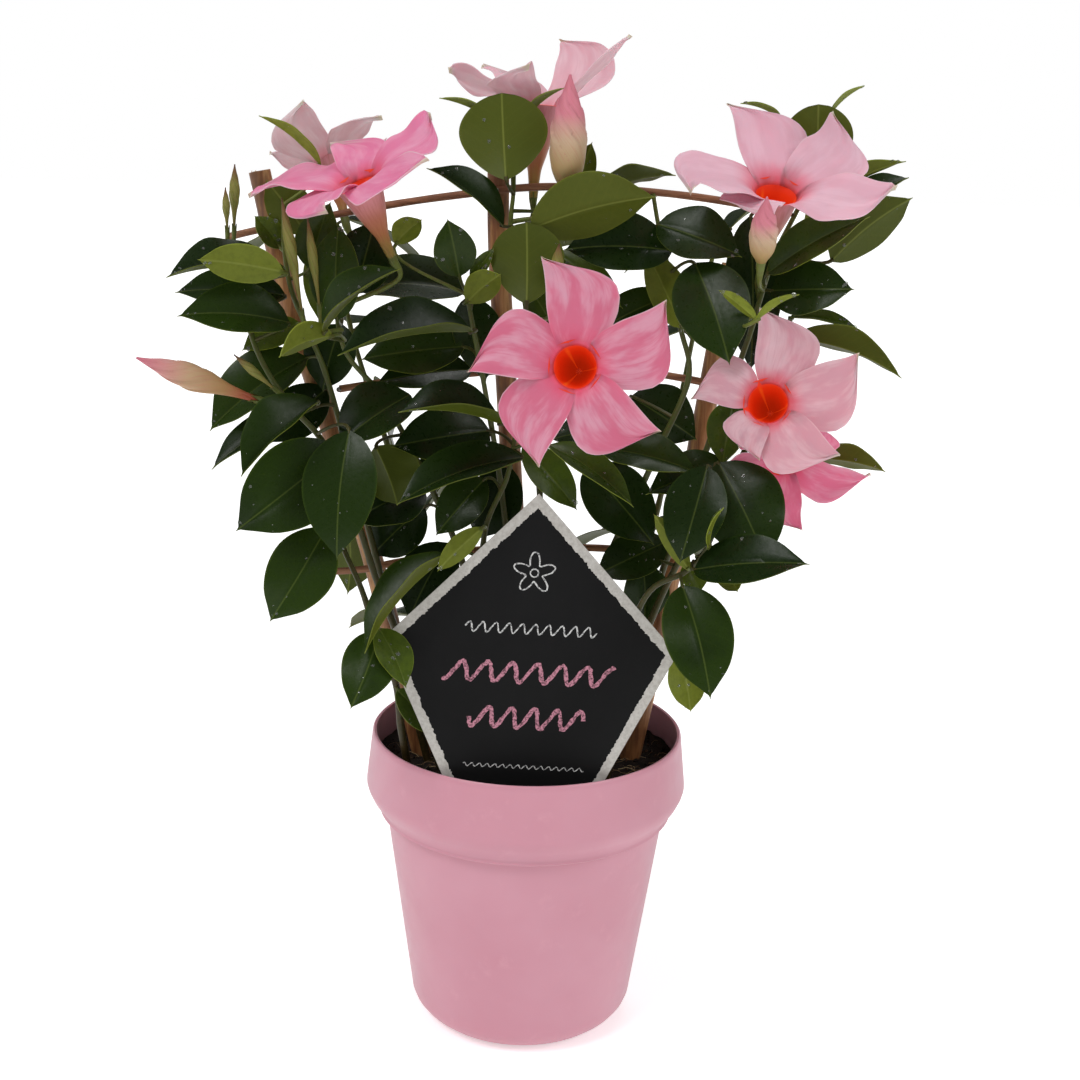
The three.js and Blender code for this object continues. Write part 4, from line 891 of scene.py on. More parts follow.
def add_pierced_disc(skin, rim, height, turned):
    """The floor of the pot: a disc out to its rim with round drain holes left open."""
    ring_count = len(rim)
    inner, outer = (ring_at(DRAIN_CIRCLE_R + side * (DRAIN_R + 3), height, ring_count) for side in (-1, 1))
    marks = (0, height, 0)
    skin.add_sheet(np.stack((rim, outer)), marks, 0, flip=turned, closed=True)
    skin.add_fan(inner, marks, 0, flip=turned, middle=(0, 0, height))
    # between the two circles: one square-cornered patch round each hole, and the arcs between them
    per = ring_count // DRAIN_HOLES
    span = 10
    for k in range(DRAIN_HOLES):
        middle = int((k + 0.5) * per)
        turn = (k + 0.5) / DRAIN_HOLES * 2 * math.pi
        centre = np.array((DRAIN_CIRCLE_R * math.cos(turn), DRAIN_CIRCLE_R * math.sin(turn), height))
        patch = [(middle - span + j) % ring_count for j in range(2 * span + 1)]
        around = np.concatenate((outer[patch], inner[patch[::-1]]))
        away = np.arctan2(*(around - centre)[:, 1::-1].T)
        hole = centre + DRAIN_R * np.column_stack((np.cos(away), np.sin(away), np.zeros(len(away))))
        skin.add_sheet(np.stack((around, hole)), marks, 0, flip=turned, closed=True)
        rest = [(middle + span + j) % ring_count for j in range(per - 2 * span + 1)]
        skin.add_sheet(np.stack((outer[rest], inner[rest])), marks, 0, flip=turned)
        if turned:
            skin.add_sheet(np.stack((hole, hole + UP * POT_FLOOR)), marks, 0, closed=True)


# ---------------------------------------------------------------- soil
SOIL_ROWS = 60
SOIL_SIDES = 150
SOIL_EDGE_R = POT_COLLAR_R - POT_WALL - GAP - 2.4
SOIL, CRUMB, FIBRE = range(3)
CRUMBS = 900
FIBRES = 260
FIBRE_STEP = 1.7


def soil_height(x, y):
    mound = SOIL_MOUND * max(0.0, 1 - (math.hypot(x, y) / 84) ** 2)
    at = Vector((x, y, 0.0))
    coarse = noise.noise(at * 0.05) * 1.6
    crumbs = noise.noise(at * 0.16 + Vector((7, 3, 0))) * 1.5
    grit = noise.noise(at * 0.5 + Vector((1, 9, 0))) * 0.8
    return SOIL_Z - 1.2 + mound * 0.7 + coarse + crumbs + grit


def make_soil():
    """The fill: its sides follow the pot's wall, and its top is rough."""
    inside = [
        (POT_FOOT_R - 8, POT_FLOOR + GAP), (56, 7.2), (59.6, 13),
        (POT_WALL_TOP_R - POT_WALL - GAP - 0.4, POT_LIP_Z - 3), (POT_LIP_R - POT_WALL - GAP, POT_LIP_Z + 3),
        (SOIL_EDGE_R - 0.2, SOIL_Z - 5),
    ]
    rings = [ring_at(reach, height, SOIL_SIDES) for reach, height in inside]
    for row in range(SOIL_ROWS, 0, -1):
        ring = ring_at(SOIL_EDGE_R * row / SOIL_ROWS, 0, SOIL_SIDES)
        ring[:, 2] = [soil_height(x, y) for x, y, _ in ring]
        rings.append(ring)
    skin = Skin()
    skin.add_tube(np.array(rings), UNMARKED, SOIL)
    return skin


def scatter_on_soil(rng, count, outer):
    reach = outer * np.sqrt(rng.uniform(0, 1, count))
    angle = rng.uniform(0, 2 * math.pi, count)
    return zip(reach * np.cos(angle), reach * np.sin(angle))


def hull_faces(corners):
    """Triangles of a ball of twelve corners that stand 2 apart, each seen from outside."""
    faces = []
    for three in itertools.combinations(range(12), 3):
        a, b, c = corners[list(three)]
        if max(math.dist(a, b), math.dist(b, c), math.dist(a, c)) < 2.1:
            outward = np.cross(b - a, c - a).dot(a + b + c) > 0
            faces.append(three if outward else (three[0], three[2], three[1]))
    return faces


def add_crumbs(skin, rng):
    """Bark and coir crumbs lying on the soil: lumps of twelve corners."""
    golden = (1 + 5**0.5) / 2
    corners = np.array([(0, s, t * golden) for s in (-1, 1) for t in (-1, 1)])
    corners = np.concatenate((corners, corners[:, [1, 2, 0]], corners[:, [2, 0, 1]]))
    faces = hull_faces(corners)
    for x, y in scatter_on_soil(rng, CRUMBS, POT_COLLAR_R - 7):
        size = rng.uniform(0.35, 1.15)
        stretch = rng.uniform(0.5, 1.5, 3) * size / 1.9
        turn = np.array(Matrix.Rotation(rng.uniform(0, 6.3), 3, Vector(rng.uniform(-1, 1, 3)).normalized()))
        lump = (corners * stretch * rng.uniform(0.8, 1.2, (12, 1))) @ turn.T
        at = np.array((x, y, soil_height(x, y) + size * 0.25))
        skin.add(lump + at, faces, (rng.uniform(0, 1), 0, 0), CRUMB)


def add_fibres(skin, rng):
    """Fine pale root hairs and coir fibres that lie over the soil."""
    for x, y in scatter_on_soil(rng, FIBRES, POT_COLLAR_R - 12):
        heading = rng.uniform(0, 2 * math.pi)
        curl = rng.uniform(-0.35, 0.35)
        path = []
        for step in range(7):
            path.append((x, y, soil_height(x, y) + 0.35 + 0.9 * math.sin(step / 6 * math.pi)))
            x += FIBRE_STEP * math.cos(heading)
            y += FIBRE_STEP * math.sin(heading)
            heading += curl
        if math.hypot(x, y) < POT_COLLAR_R - 6:
            rings = rings_along(np.array(path), np.full(7, rng.uniform(0.09, 0.2)), 3)
            skin.add_tube(rings, np.full(3, rng.uniform(0, 1)), FIBRE)


# ---------------------------------------------------------------- trellis
STAKE_LINES = {name: line_through(places) for name, places in STAKES.items()}
ROD_LINES = {name: line_through([(x, z, ROD_Y) for x, z in places]) for name, places in RODS.items()}
BARK, CUT = range(2)
NODE_SPACING = 88
TRELLIS_STEPS = 90
SPLINTERS = 26


def make_stake(name, rng):
    """A cane: round, a little oval, with low nodes and a rough cut top."""
    line = STAKE_LINES[name]
    sides = 28
    angles = turns(sides)
    across = np.ones((TRELLIS_STEPS + 1, sides))
    walked = np.linspace(0, line.length, TRELLIS_STEPS + 1)
    phase = rng.uniform(10, 70)
    for k, down in enumerate(walked):
        ridge = (down + phase) % NODE_SPACING - NODE_SPACING / 2
        across[k] *= 0.955 + 0.035 * math.exp(-((ridge / 2.6) ** 2))
        across[k] += 0.008 * np.sin(angles * 9 + rng.uniform(0, 0.6))
        across[k] += 0.006 * np.sin(angles * 4 + down / 30)
    rings = rings_along(line.walk(TRELLIS_STEPS), np.full(TRELLIS_STEPS + 1, STAKE_R), sides, across)
    skin = Skin()
    skin.add_sheet(rings, UNMARKED, BARK, flip=True, closed=True)
    add_cut_end(skin, rings[0], rng)
    if name == "left":
        add_splinters(skin, rings[0].mean(axis=0), rng)
    skin.add_fan(rings[-1], UNMARKED, CUT)
    return skin


def add_cut_end(skin, ring, rng):
    """The sawn top of a cane, a little uneven."""
    centre = ring.mean(axis=0)
    rows = []
    for share in (1.0, 0.8, 0.55, 0.25):
        rough = rng.uniform(0, 0.5, len(ring))[:, None] * (share < 1)
        rows.append(centre + (ring - centre) * share - UP * (0.7 * (1 - share)) - UP * rough)
    skin.add_sheet(np.array(rows), UNMARKED, CUT, closed=True)
    skin.add_fan(rows[-1], UNMARKED, CUT)


def add_splinters(skin, centre, rng):
    """A frayed top: splinters that stand up from the cut."""
    for _ in range(SPLINTERS):
        angle = rng.uniform(0, 2 * math.pi)
        reach = STAKE_R * rng.uniform(0.3, 0.85)
        foot = centre + np.array((math.cos(angle) * reach, math.sin(angle) * reach, -2.0))
        height = rng.uniform(1.2, 2.4)
        lean = np.array((rng.uniform(-0.8, 0.8), rng.uniform(-0.8, 0.8), height))
        path = foot + np.linspace(0, 1, 4)[:, None] * lean
        rings = rings_along(path, np.array((0.45, 0.36, 0.24, 0.08)), 4)
        skin.add_tube(rings, np.full(3, rng.uniform(0, 1)), CUT)


def make_rod(name):
    sides = 14
    wobble = np.linspace(0, 40, TRELLIS_STEPS + 1)[:, None] + np.arange(sides) * 0.9
    path = ROD_LINES[name].walk(TRELLIS_STEPS)
    rings = rings_along(path, np.full(TRELLIS_STEPS + 1, ROD_R), sides, 0.95 + 0.03 * np.sin(wobble))
    skin = Skin()
    skin.add_tube(rings, UNMARKED, BARK, end_slot=CUT)
    return skin


# ---------------------------------------------------------------- nails
# half section of a nail, from its point to the crown of its head: radius, distance ahead
NAIL = [(0.05, -7.6), (0.35, -6.4), (0.45, -6.0), (0.5, 0.0), (0.7, 0.0), (1.25, 0.0), (1.35, 0.15),
        (1.35, 0.42), (1.2, 0.6), (0.6, 0.7), (0.05, 0.7)]


def crossing(rod_name, stake_name):
    """Where a cross rod passes in front of a stake."""
    rod_path = ROD_LINES[rod_name].walk(160)
    stake_path = STAKE_LINES[stake_name].walk(160)
    apart = rod_path[:, None, [0, 2]] - stake_path[None, :, [0, 2]]
    distance = np.linalg.norm(apart, axis=2)
    return rod_path[np.unravel_index(distance.argmin(), distance.shape)[0]]


def make_nail(at):
    foot = at - np.array((0, ROD_R + GAP, 0))
    rings = [ring_at(reach, ahead, 16)[:, [0, 2, 1]] * (1, -1, 1) + foot for reach, ahead in NAIL]
    skin = Skin()
    skin.add_tube(np.array(rings), UNMARKED, 0)
    return skin


# ---------------------------------------------------------------- label
PANEL, BORDER, CHALK, CARD_EDGE, PINK_CHALK = range(5)
BORDER_WIDTH = 4.9
CHALK_HEIGHT = 0.06
FLOWER_ROW = 38
# the wavy rules: middle height on the card, half length, height of a wave, beat, width, slot
RULES = [(9, 33, 2.6, 0.95, 0.8, CHALK), (-14, 42, 5.0, 0.5, 2.2, PINK_CHALK),
         (-38, 29, 5.2, 0.54, 2.2, PINK_CHALK), (-64, 31, 0.9, 1.6, 0.5, CHALK)]


def label_outline():
    """Corners of the card, clockwise from the peak: five-sided head, then the spike."""
    half = [
        (0, LABEL_PEAK), (LABEL_HALF_WIDTH, 0), (LABEL_FOOT_HALF, -LABEL_FOOT_DROP),
        (LABEL_SPIKE_HALF, -LABEL_FOOT_DROP - 2), (LABEL_SPIKE_HALF - 1, 12 - LABEL_SPIKE_DROP),
    ]
    return half + [(0, -LABEL_SPIKE_DROP)] + [(-x, z) for x, z in half[:0:-1]]


def on_card(points, ahead):
    """Card coordinates to the place where the card stands: turned, and leaning a little back."""
    points = np.asarray(points, float)
    c, s = math.cos(LABEL_TURN), math.sin(LABEL_TURN)
    x = points[:, 0] * c - points[:, 1] * s
    z = points[:, 0] * s + points[:, 1] * c
    lean = math.atan(LABEL_LEAN)
    foot_y = LABEL_Y + (LABEL_CENTRE_Z - POT_RIM_Z) * LABEL_LEAN
    return np.column_stack((x + 0.5, z * math.sin(lean) - ahead * math.cos(lean) + foot_y,
                            z * math.cos(lean) + ahead * math.sin(lean) + LABEL_CENTRE_Z))


def inset_corners(corners, depth):
    """Corners of a clockwise outline, each moved in until it is depth away from both its sides."""
    moved = []
    for before, corner, after in zip(corners[-1:] + corners[:-1], corners, corners[1:] + corners[:1]):
        into, out_of = unit(np.subtract(corner, before)), unit(np.subtract(after, corner))
        inward = np.array((into[1] + out_of[1], -into[0] - out_of[0]))
        moved.append(corner + inward * depth / (1 + into.dot(out_of)))
    return moved


def walk_edge(corners, counts):
    """Points along a closed outline, a given number of them on each side."""
    points = []
    for a, b, count in zip(corners, corners[1:] + corners[:1], counts):
        points.extend(np.array(a) + np.subtract(b, a) * k / count for k in range(count))
    return np.array(points)


def make_label(rng):
    """A varnished card: black panel with a pale border, chalky where they meet, and chalk marks."""
    outline = label_outline()
    head = outline[:3] + outline[-2:]
    counts = [round(math.dist(a, b) / 0.8) for a, b in zip(head, head[1:] + head[:1])]
    edge = walk_edge(head, counts)
    inset = walk_edge(inset_corners(head, BORDER_WIDTH), counts)
    middle = np.array((0.0, -10.0))
    for k, point in enumerate(inset):
        rough = 0.9 * noise.noise(Vector((point[0] * 0.35, point[1] * 0.35, 4.0)))
        rough += 0.9 * noise.noise(Vector((point[0] * 1.4, point[1] * 1.4, 8.0)))
        inset[k] = point + unit(middle - point) * rough
    skin = Skin()
    panel = np.array([on_card(middle + (inset - middle) * share, LABEL_THICK) for share in (1.0, 0.66, 0.33)])
    skin.add_sheet(panel, UNMARKED, PANEL, closed=True)
    skin.add_fan(panel[-1], UNMARKED, PANEL, middle=on_card([middle], LABEL_THICK)[0])
    skin.add_sheet(np.stack((on_card(edge, LABEL_THICK), panel[0])), UNMARKED, BORDER, closed=True)
    spike = outline[2:9]
    skin.add(on_card(spike, LABEL_THICK), [tuple(range(len(spike)))], UNMARKED, CARD_EDGE)
    rim = walk_edge(outline, counts[:2] + [1] * 6 + counts[3:])
    behind = on_card(rim, 0.0)
    skin.add(behind, [tuple(range(len(rim)))], UNMARKED, CARD_EDGE)
    skin.add_sheet(np.stack((on_card(rim, LABEL_THICK), behind)), UNMARKED, CARD_EDGE, closed=True)
    for stroke, width, slot in chalk_strokes():
        add_stroke(skin, stroke, width, slot, rng)
    return skin


def chalk_strokes():
    """Chalk marks, each with its width and its slot: a small flower, then four wavy rules."""
    turn = np.linspace(0, 2 * math.pi, 90)
    petals = 7.5 + 3.2 * np.cos(5 * turn)
    strokes = []
    for reach, width in ((petals, 0.8), (2, 0.7)):
        drawn = np.column_stack((reach * np.sin(turn), FLOWER_ROW + reach * np.cos(turn)))
        strokes.append((drawn, width, CHALK))
    for row, half, height, beat, width, slot in RULES:
        run = np.linspace(-half, half, round(half * 6 * beat))
        wave = height * np.sin(run * beat)
        strokes.append((np.column_stack((run + 0.3 * wave, row + wave)), width, slot))
    return strokes


def add_stroke(skin, path, width, slot, rng):
    """A thin chalk line on the panel, rough along both edges."""
    ahead = np.gradient(path, axis=0)
    ahead /= np.linalg.norm(ahead, axis=1)[:, None]
    side = np.column_stack((-ahead[:, 1], ahead[:, 0])) * width
    left = path + side * rng.uniform(0.3, 0.62, len(path))[:, None]
    right = path - side * rng.uniform(0.3, 0.62, len(path))[:, None]
    edges = [on_card(edge, LABEL_THICK + CHALK_HEIGHT) for edge in (left, right)]
    skin.add_sheet(np.stack(edges), UNMARKED, slot, flip=True)


# ---------------------------------------------------------------- materials
def colour(code):
    """Linear colour of an sRGB hex code."""
    parts = [int(code[i:i + 2], 16) / 255 for i in (1, 3, 5)]
    linear = [p / 12.92 if p <= 0.04045 else ((p + 0.055) / 1.055) ** 2.4 for p in parts]
    return (*linear, 1.0)


def join(tree, value, entry):
    """Links an output to an input, or holds a number or a hex colour on it."""
    if isinstance(value, bpy.types.NodeSocket):
        tree.links.new(value, entry)
    else:
        entry.default_value = colour(value) if isinstance(value, str) else value


def add(tree, feeds, kind, out=0, stops=(), **settings):
    """Adds a node with its settings, feeds and colour stops, and gives one of its outputs.
    feeds is a list that fills the inputs in order, or a dict by the inputs' names or numbers."""
    made = tree.nodes.new(kind)
    for key, value in settings.items():
        setattr(made, key, value)
    for key, value in (feeds if isinstance(feeds, dict) else dict(enumerate(feeds))).items():
        join(tree, value, made.inputs[key])
    for k, (spot, code) in enumerate(stops):
        marks = made.color_ramp.elements
        entry = marks[k] if k < 2 else marks.new(spot)
        entry.position, entry.color = spot, colour(code)
    return made.outputs[out]


PLACE = dict(feeds=[], kind="ShaderNodeTexCoord", out="Object")
MARK = dict(feeds=[], kind="ShaderNodeAttribute", out="Vector", attribute_name="mark")
PART = dict(kind="ShaderNodeSeparateXYZ")
STRETCH = dict(kind="ShaderNodeMapping")
NOISE = dict(kind="ShaderNodeTexNoise")
RAMP = dict(kind="ShaderNodeValToRGB")
BLEND = dict(kind="ShaderNodeMix", data_type="RGBA", out=2)
RISE = dict(kind="ShaderNodeMapRange", interpolation_type="SMOOTHSTEP")
TIMES = dict(kind="ShaderNodeMath", operation="MULTIPLY")
SIZE_OF = dict(kind="ShaderNodeMath", operation="ABSOLUTE")
TIMES_PLUS = dict(kind="ShaderNodeMath", operation="MULTIPLY_ADD")
TO_AND_FRO = dict(kind="ShaderNodeMath", operation="PINGPONG")
RELIEF = dict(kind="ShaderNodeBump")


def cells(grain):
    """Scale of a pattern over places in metres, for grains of this size in millimetres."""
    return 1 / (grain * MM)


def laid_over(tree, under, top, pattern, low, high, least=0, most=1):
    """A colour laid over another, from least to most as a pattern rises from low to high."""
    share = add(tree, [pattern, low, high, least, most], **RISE)
    return add(tree, {0: share, 6: under, 7: top}, **BLEND)


def start_material(name):
    material = bpy.data.materials.new(name)
    material.use_nodes = True
    return material, material.node_tree


def coat(material, **sockets):
    """Links or sets the surface's sockets, with underscores for the spaces in their names."""
    tree = material.node_tree
    for key, value in sockets.items():
        join(tree, value, tree.nodes["Principled BSDF"].inputs[key.replace("_", " ")])
    return material


def pot_plastic():
    """Moulded polypropylene with a satin skin: dusty pink, faint flow marks, a few pale scuffs, and
    compost dust with painted shade on the inner wall, which darken it almost to black."""
    material, tree = start_material("moulded pink polypropylene")
    at = add(tree, **PLACE)
    flow = add(tree, {"Vector": at, "Scale": cells(55), "Detail": 3}, **NOISE)
    scuffs = add(tree, {"Vector": at, "Scale": cells(16), "Detail": 6, "Roughness": 0.7}, **NOISE)
    skin = add(tree, {"Vector": at, "Scale": cells(1.1), "Detail": 2}, **NOISE)
    shade = add(tree, [flow], stops=[(0.3, "#d392a2"), (0.7, "#d89bab")], **RAMP)
    rubbed = laid_over(tree, shade, "#e3a9b7", scuffs, 0.55, 0.75, 0, 0.35)
    # the inner wall is laid almost black all over: compost dust, and painted shade for the shadow inside the
    # pot
    inner = add(tree, [add(tree, **MARK)], out=2, **PART)
    dust = add(tree, [inner, add(tree, [scuffs, 0.3, 0.6, 0.95, 0.75], **RISE)], **TIMES)
    dusty = add(tree, {0: dust, 6: rubbed, 7: "#2a1a15"}, **BLEND)
    return coat(
        material, Base_Color=dusty, Roughness=add(tree, [scuffs, 0.35, 0.7, 0.36, 0.5], **RISE), IOR=1.49,
        Subsurface_Weight=0.1, Subsurface_Radius=(1.0, 0.35, 0.3), Subsurface_Scale=2 * MM,
        Sheen_Weight=0.2, Sheen_Roughness=0.35,
        Normal=add(tree, {"Height": skin, "Distance": 0.05 * MM, "Strength": 0.35}, **RELIEF))


def potting_mix():
    """Peat and coir, damp: near black brown with lighter grains."""
    material, tree = start_material("damp peat and coir")
    at = add(tree, **PLACE)
    grain = add(tree, {"Vector": at, "Scale": cells(3.8), "Detail": 8, "Roughness": 0.7}, **NOISE)
    patch = add(tree, {"Vector": at, "Scale": cells(22), "Detail": 3}, **NOISE)
    dark = add(tree, [grain], stops=[(0.34, "#0d0806"), (0.55, "#20140d"), (0.72, "#452e1f")], **RAMP)
    damp = laid_over(tree, dark, "#150d09", patch, 0.4, 0.7, 0, 0.5)
    return coat(material, Base_Color=damp, Roughness=0.93, IOR=1.4,
                Normal=add(tree, {"Height": grain, "Distance": 1.2 * MM, "Strength": 0.9}, **RELIEF))


def crumb_bark():
    """Bits of bark and coir pith, dull brown, each its own shade."""
    material, tree = start_material("bark and coir crumbs")
    shade = add(tree, [add(tree, **MARK)], **PART)
    grain = add(tree, {"Vector": add(tree, **PLACE), "Scale": cells(1.4), "Detail": 4}, **NOISE)
    browns = [(0.0, "#140d09"), (0.55, "#2b1b12"), (0.85, "#4a3325"), (1.0, "#7c6047")]
    body = add(tree, [shade], stops=browns, **RAMP)
    dark = laid_over(tree, body, "#100a07", grain, 0.4, 0.7, 0, 0.6)
    return coat(material, Base_Color=dark, Roughness=0.9, IOR=1.4)


def root_fibre():
    """Dry root hairs and coir threads, pale straw."""
    material, tree = start_material("dry root and coir fibre")
    shade = add(tree, [add(tree, **MARK)], **PART)
    straw = add(tree, [shade], stops=[(0.0, "#5c4630"), (0.5, "#8a704e"), (1.0, "#b8a27c")], **RAMP)
    return coat(material, Base_Color=straw, Roughness=0.75, IOR=1.45)


def cane():
    """Bamboo cane, boiled and thinly lacquered: orange-brown with dark streaks along the fibre."""
    material, tree = start_material("brown bamboo cane")
    at = add(tree, **PLACE)
    long_grain = add(tree, {"Vector": at, "Scale": (1, 1, 0.05)}, **STRETCH)
    long_patch = add(tree, {"Vector": at, "Scale": (1, 1, 0.5)}, **STRETCH)
    fibre = add(tree, {"Vector": long_grain, "Scale": cells(3.1), "Detail": 5, "Roughness": 0.65}, **NOISE)
    blotch = add(tree, {"Vector": long_patch, "Scale": cells(30), "Detail": 4, "Roughness": 0.6}, **NOISE)
    body = add(tree, [fibre], stops=[(0.3, "#6b4025"), (0.5, "#9c683e"), (0.68, "#c49460")], **RAMP)
    stained = laid_over(tree, body, "#4a2b1a", blotch, 0.48, 0.7, 0, 0.7)
    return coat(material, Base_Color=stained, IOR=1.5,
                Roughness=add(tree, [fibre, 0.3, 0.7, 0.38, 0.6], **RISE),
                Normal=add(tree, {"Height": fibre, "Distance": 0.35 * MM, "Strength": 0.8}, **RELIEF))


def cut_cane():
    """Sawn bamboo: dry straw-coloured fibre ends."""
    material, tree = start_material("sawn bamboo end")
    grain = add(tree, {"Vector": add(tree, **PLACE), "Scale": cells(0.7), "Detail": 3}, **NOISE)
    return coat(material, Base_Color=add(tree, [grain], stops=[(0.35, "#8a6540"), (0.65, "#cfae80")], **RAMP),
                Roughness=0.85, IOR=1.45,
                Normal=add(tree, {"Height": grain, "Distance": 0.3 * MM, "Strength": 0.8}, **RELIEF))


def rattan():
    """Peeled and stained rattan core: brown, with fine long pores."""
    material, tree = start_material("stained rattan core")
    at = add(tree, **PLACE)
    drawn = add(tree, {"Vector": at, "Scale": (0.06, 1, 1)}, **STRETCH)
    pores = add(tree, {"Vector": drawn, "Scale": cells(2.4), "Detail": 5, "Roughness": 0.7}, **NOISE)
    patch = add(tree, {"Vector": at, "Scale": cells(25), "Detail": 3}, **NOISE)
    body = add(tree, [pores], stops=[(0.32, "#684028"), (0.55, "#a06c4a"), (0.7, "#bd8d68")], **RAMP)
    stained = laid_over(tree, body, "#6b3f28", patch, 0.45, 0.7, 0, 0.45)
    return coat(material, Base_Color=stained, Roughness=0.6, IOR=1.5,
                Normal=add(tree, {"Height": pores, "Distance": 0.25 * MM, "Strength": 0.8}, **RELIEF))


def nail_steel():
    """Zinc-plated steel gone dull, with rust in spots."""
    material, tree = start_material("dull zinc-plated steel")
    rust = add(tree, {"Vector": add(tree, **PLACE), "Scale": cells(1.1), "Detail": 4}, **NOISE)
    return coat(material, Base_Color=add(tree, [rust], stops=[(0.4, "#6a5a50"), (0.6, "#b9b6b0")], **RAMP),
                Metallic=1.0, Roughness=add(tree, [rust, 0.35, 0.7, 0.3, 0.6], **RISE))


def card_panel():
    """Black print under a matt varnish on card, with a haze of wiped chalk."""
    material, tree = start_material("black printed card")
    at = add(tree, **PLACE)
    wiped = add(tree, {"Vector": at, "Scale": (1, 1, 0.6)}, **STRETCH)
    haze = add(tree, {"Vector": wiped, "Scale": cells(38), "Detail": 5, "Roughness": 0.62}, **NOISE)
    dust = add(tree, {"Vector": at, "Scale": cells(1.5), "Detail": 4, "Roughness": 0.7}, **NOISE)
    body = add(tree, [haze], stops=[(0.4, "#0a0a0b"), (0.62, "#0f0f10"), (0.8, "#1b1c1d")], **RAMP)
    dusty = laid_over(tree, body, "#3c3d3f", dust, 0.64, 0.8, 0, 0.3)
    return coat(material, Base_Color=dusty, Roughness=0.75, IOR=1.45, Specular_IOR_Level=0.3)


def card_border():
    """Unprinted board with the tooth of paper."""
    material, tree = start_material("pale board")
    at = add(tree, **PLACE)
    tooth = add(tree, {"Vector": at, "Scale": cells(2), "Detail": 5, "Roughness": 0.7}, **NOISE)
    return coat(material, Base_Color=add(tree, [tooth], stops=[(0.35, "#b5b1aa"), (0.6, "#cbc8c2")], **RAMP),
                Roughness=0.8, IOR=1.45,
                Normal=add(tree, {"Height": tooth, "Distance": 0.1 * MM, "Strength": 0.5}, **RELIEF))


def chalk_line(name, worn, full):
    """Chalk: powdery, breaking up over the board's tooth."""
    material, tree = start_material(name)
    at = add(tree, **PLACE)
    tooth = add(tree, {"Vector": at, "Scale": cells(1.1), "Detail": 3, "Roughness": 0.7}, **NOISE)
    return coat(material, Base_Color=add(tree, [tooth], stops=[(0.38, worn), (0.55, full)], **RAMP),
                Roughness=0.95)


LEAF_GREENS = [(0.0, "#17270b"), (0.35, "#293b0f"), (0.65, "#4a5a1a"), (1.0, "#6e7c28")]
VEIN_SPACING = 5.8  # millimetres between the side veins of a leaf, along its midrib
VEIN_SLANT = -0.75  # the side veins run forward by this much for each millimetre out


def leaf_upper():
    """Living leaf, upper face: waxy film over very dark green flesh, thin pale midrib, side veins that
    barely show."""
    material, tree = start_material("mandevilla leaf, upper face")
    mark = add(tree, **MARK)
    side, along, tone = add(tree, [mark], **PART).node.outputs
    across = add(tree, [side], **SIZE_OF)
    wander = add(tree, {"Vector": mark, "Scale": 1 / 8, "Detail": 2}, **NOISE)
    slant = add(tree, [wander, 3.0, add(tree, [across, VEIN_SLANT, along], **TIMES_PLUS)], **TIMES_PLUS)
    vein = add(tree, [add(tree, [slant, VEIN_SPACING / 2], **TO_AND_FRO), 0.0, 0.5, 1, 0], **RISE)
    rib = add(tree, [across, 0.15, 0.6, 1, 0], **RISE)
    mottle = add(tree, {"Vector": mark, "Scale": 1 / 2.8, "Detail": 5, "Roughness": 0.6}, **NOISE)
    broad = add(tree, {"Vector": add(tree, **PLACE), "Scale": cells(28), "Detail": 3}, **NOISE)
    flesh = add(tree, [tone], stops=LEAF_GREENS, **RAMP)
    worn = laid_over(tree, flesh, "#20320d", mottle, 0.4, 0.75, 0, 0.4)
    tired = laid_over(tree, worn, "#121f08", broad, 0.5, 0.75, 0, 0.5)
    veined = add(tree, {0: add(tree, [vein, 0.03], **TIMES), 6: tired, 7: "#566a2c"}, **BLEND)
    ribbed = add(tree, {0: add(tree, [rib, 0.3], **TIMES), 6: veined, 7: "#6c7a3a"}, **BLEND)
    return coat(
        material, Base_Color=ribbed, Roughness=add(tree, [mottle, 0.3, 0.75, 0.26, 0.36], **RISE), IOR=1.4,
        Specular_IOR_Level=0.24,
        Normal=add(tree, {"Height": mottle, "Distance": 0.15 * MM, "Strength": 0.5}, **RELIEF))


def leaf_under():
    """Living leaf, under face: paler, matt, olive, its net of veins painted a little lighter."""
    material, tree = start_material("mandevilla leaf, under face")
    mark = add(tree, **MARK)
    side, along, tone = add(tree, [mark], **PART).node.outputs
    across = add(tree, [side], **SIZE_OF)
    slant = add(tree, [across, VEIN_SLANT, along], **TIMES_PLUS)
    vein = add(tree, [add(tree, [slant, VEIN_SPACING / 2], **TO_AND_FRO), 0.0, 0.5, 1, 0], **RISE)
    rib = add(tree, [across, 0.2, 0.7, 1, 0], **RISE)
    mottle = add(tree, {"Vector": mark, "Scale": 1 / 2.5, "Detail": 5, "Roughness": 0.6}, **NOISE)
    flesh = add(tree, [tone], stops=[(0.0, "#46500f"), (0.5, "#5c6418"), (1.0, "#84902e")], **RAMP)
    worn = laid_over(tree, flesh, "#4c5612", mottle, 0.4, 0.75, 0, 0.4)
    veined = add(tree, {0: add(tree, [vein, 0.03], **TIMES), 6: worn, 7: "#8a9440"}, **BLEND)
    ribbed = add(tree, {0: add(tree, [rib, 0.4], **TIMES), 6: veined, 7: "#8a9242"}, **BLEND)
    return coat(material, Base_Color=ribbed, Roughness=0.5, IOR=1.42, Specular_IOR_Level=0.28,
                Normal=add(tree, {"Height": mottle, "Distance": 0.2 * MM, "Strength": 0.5}, **RELIEF))


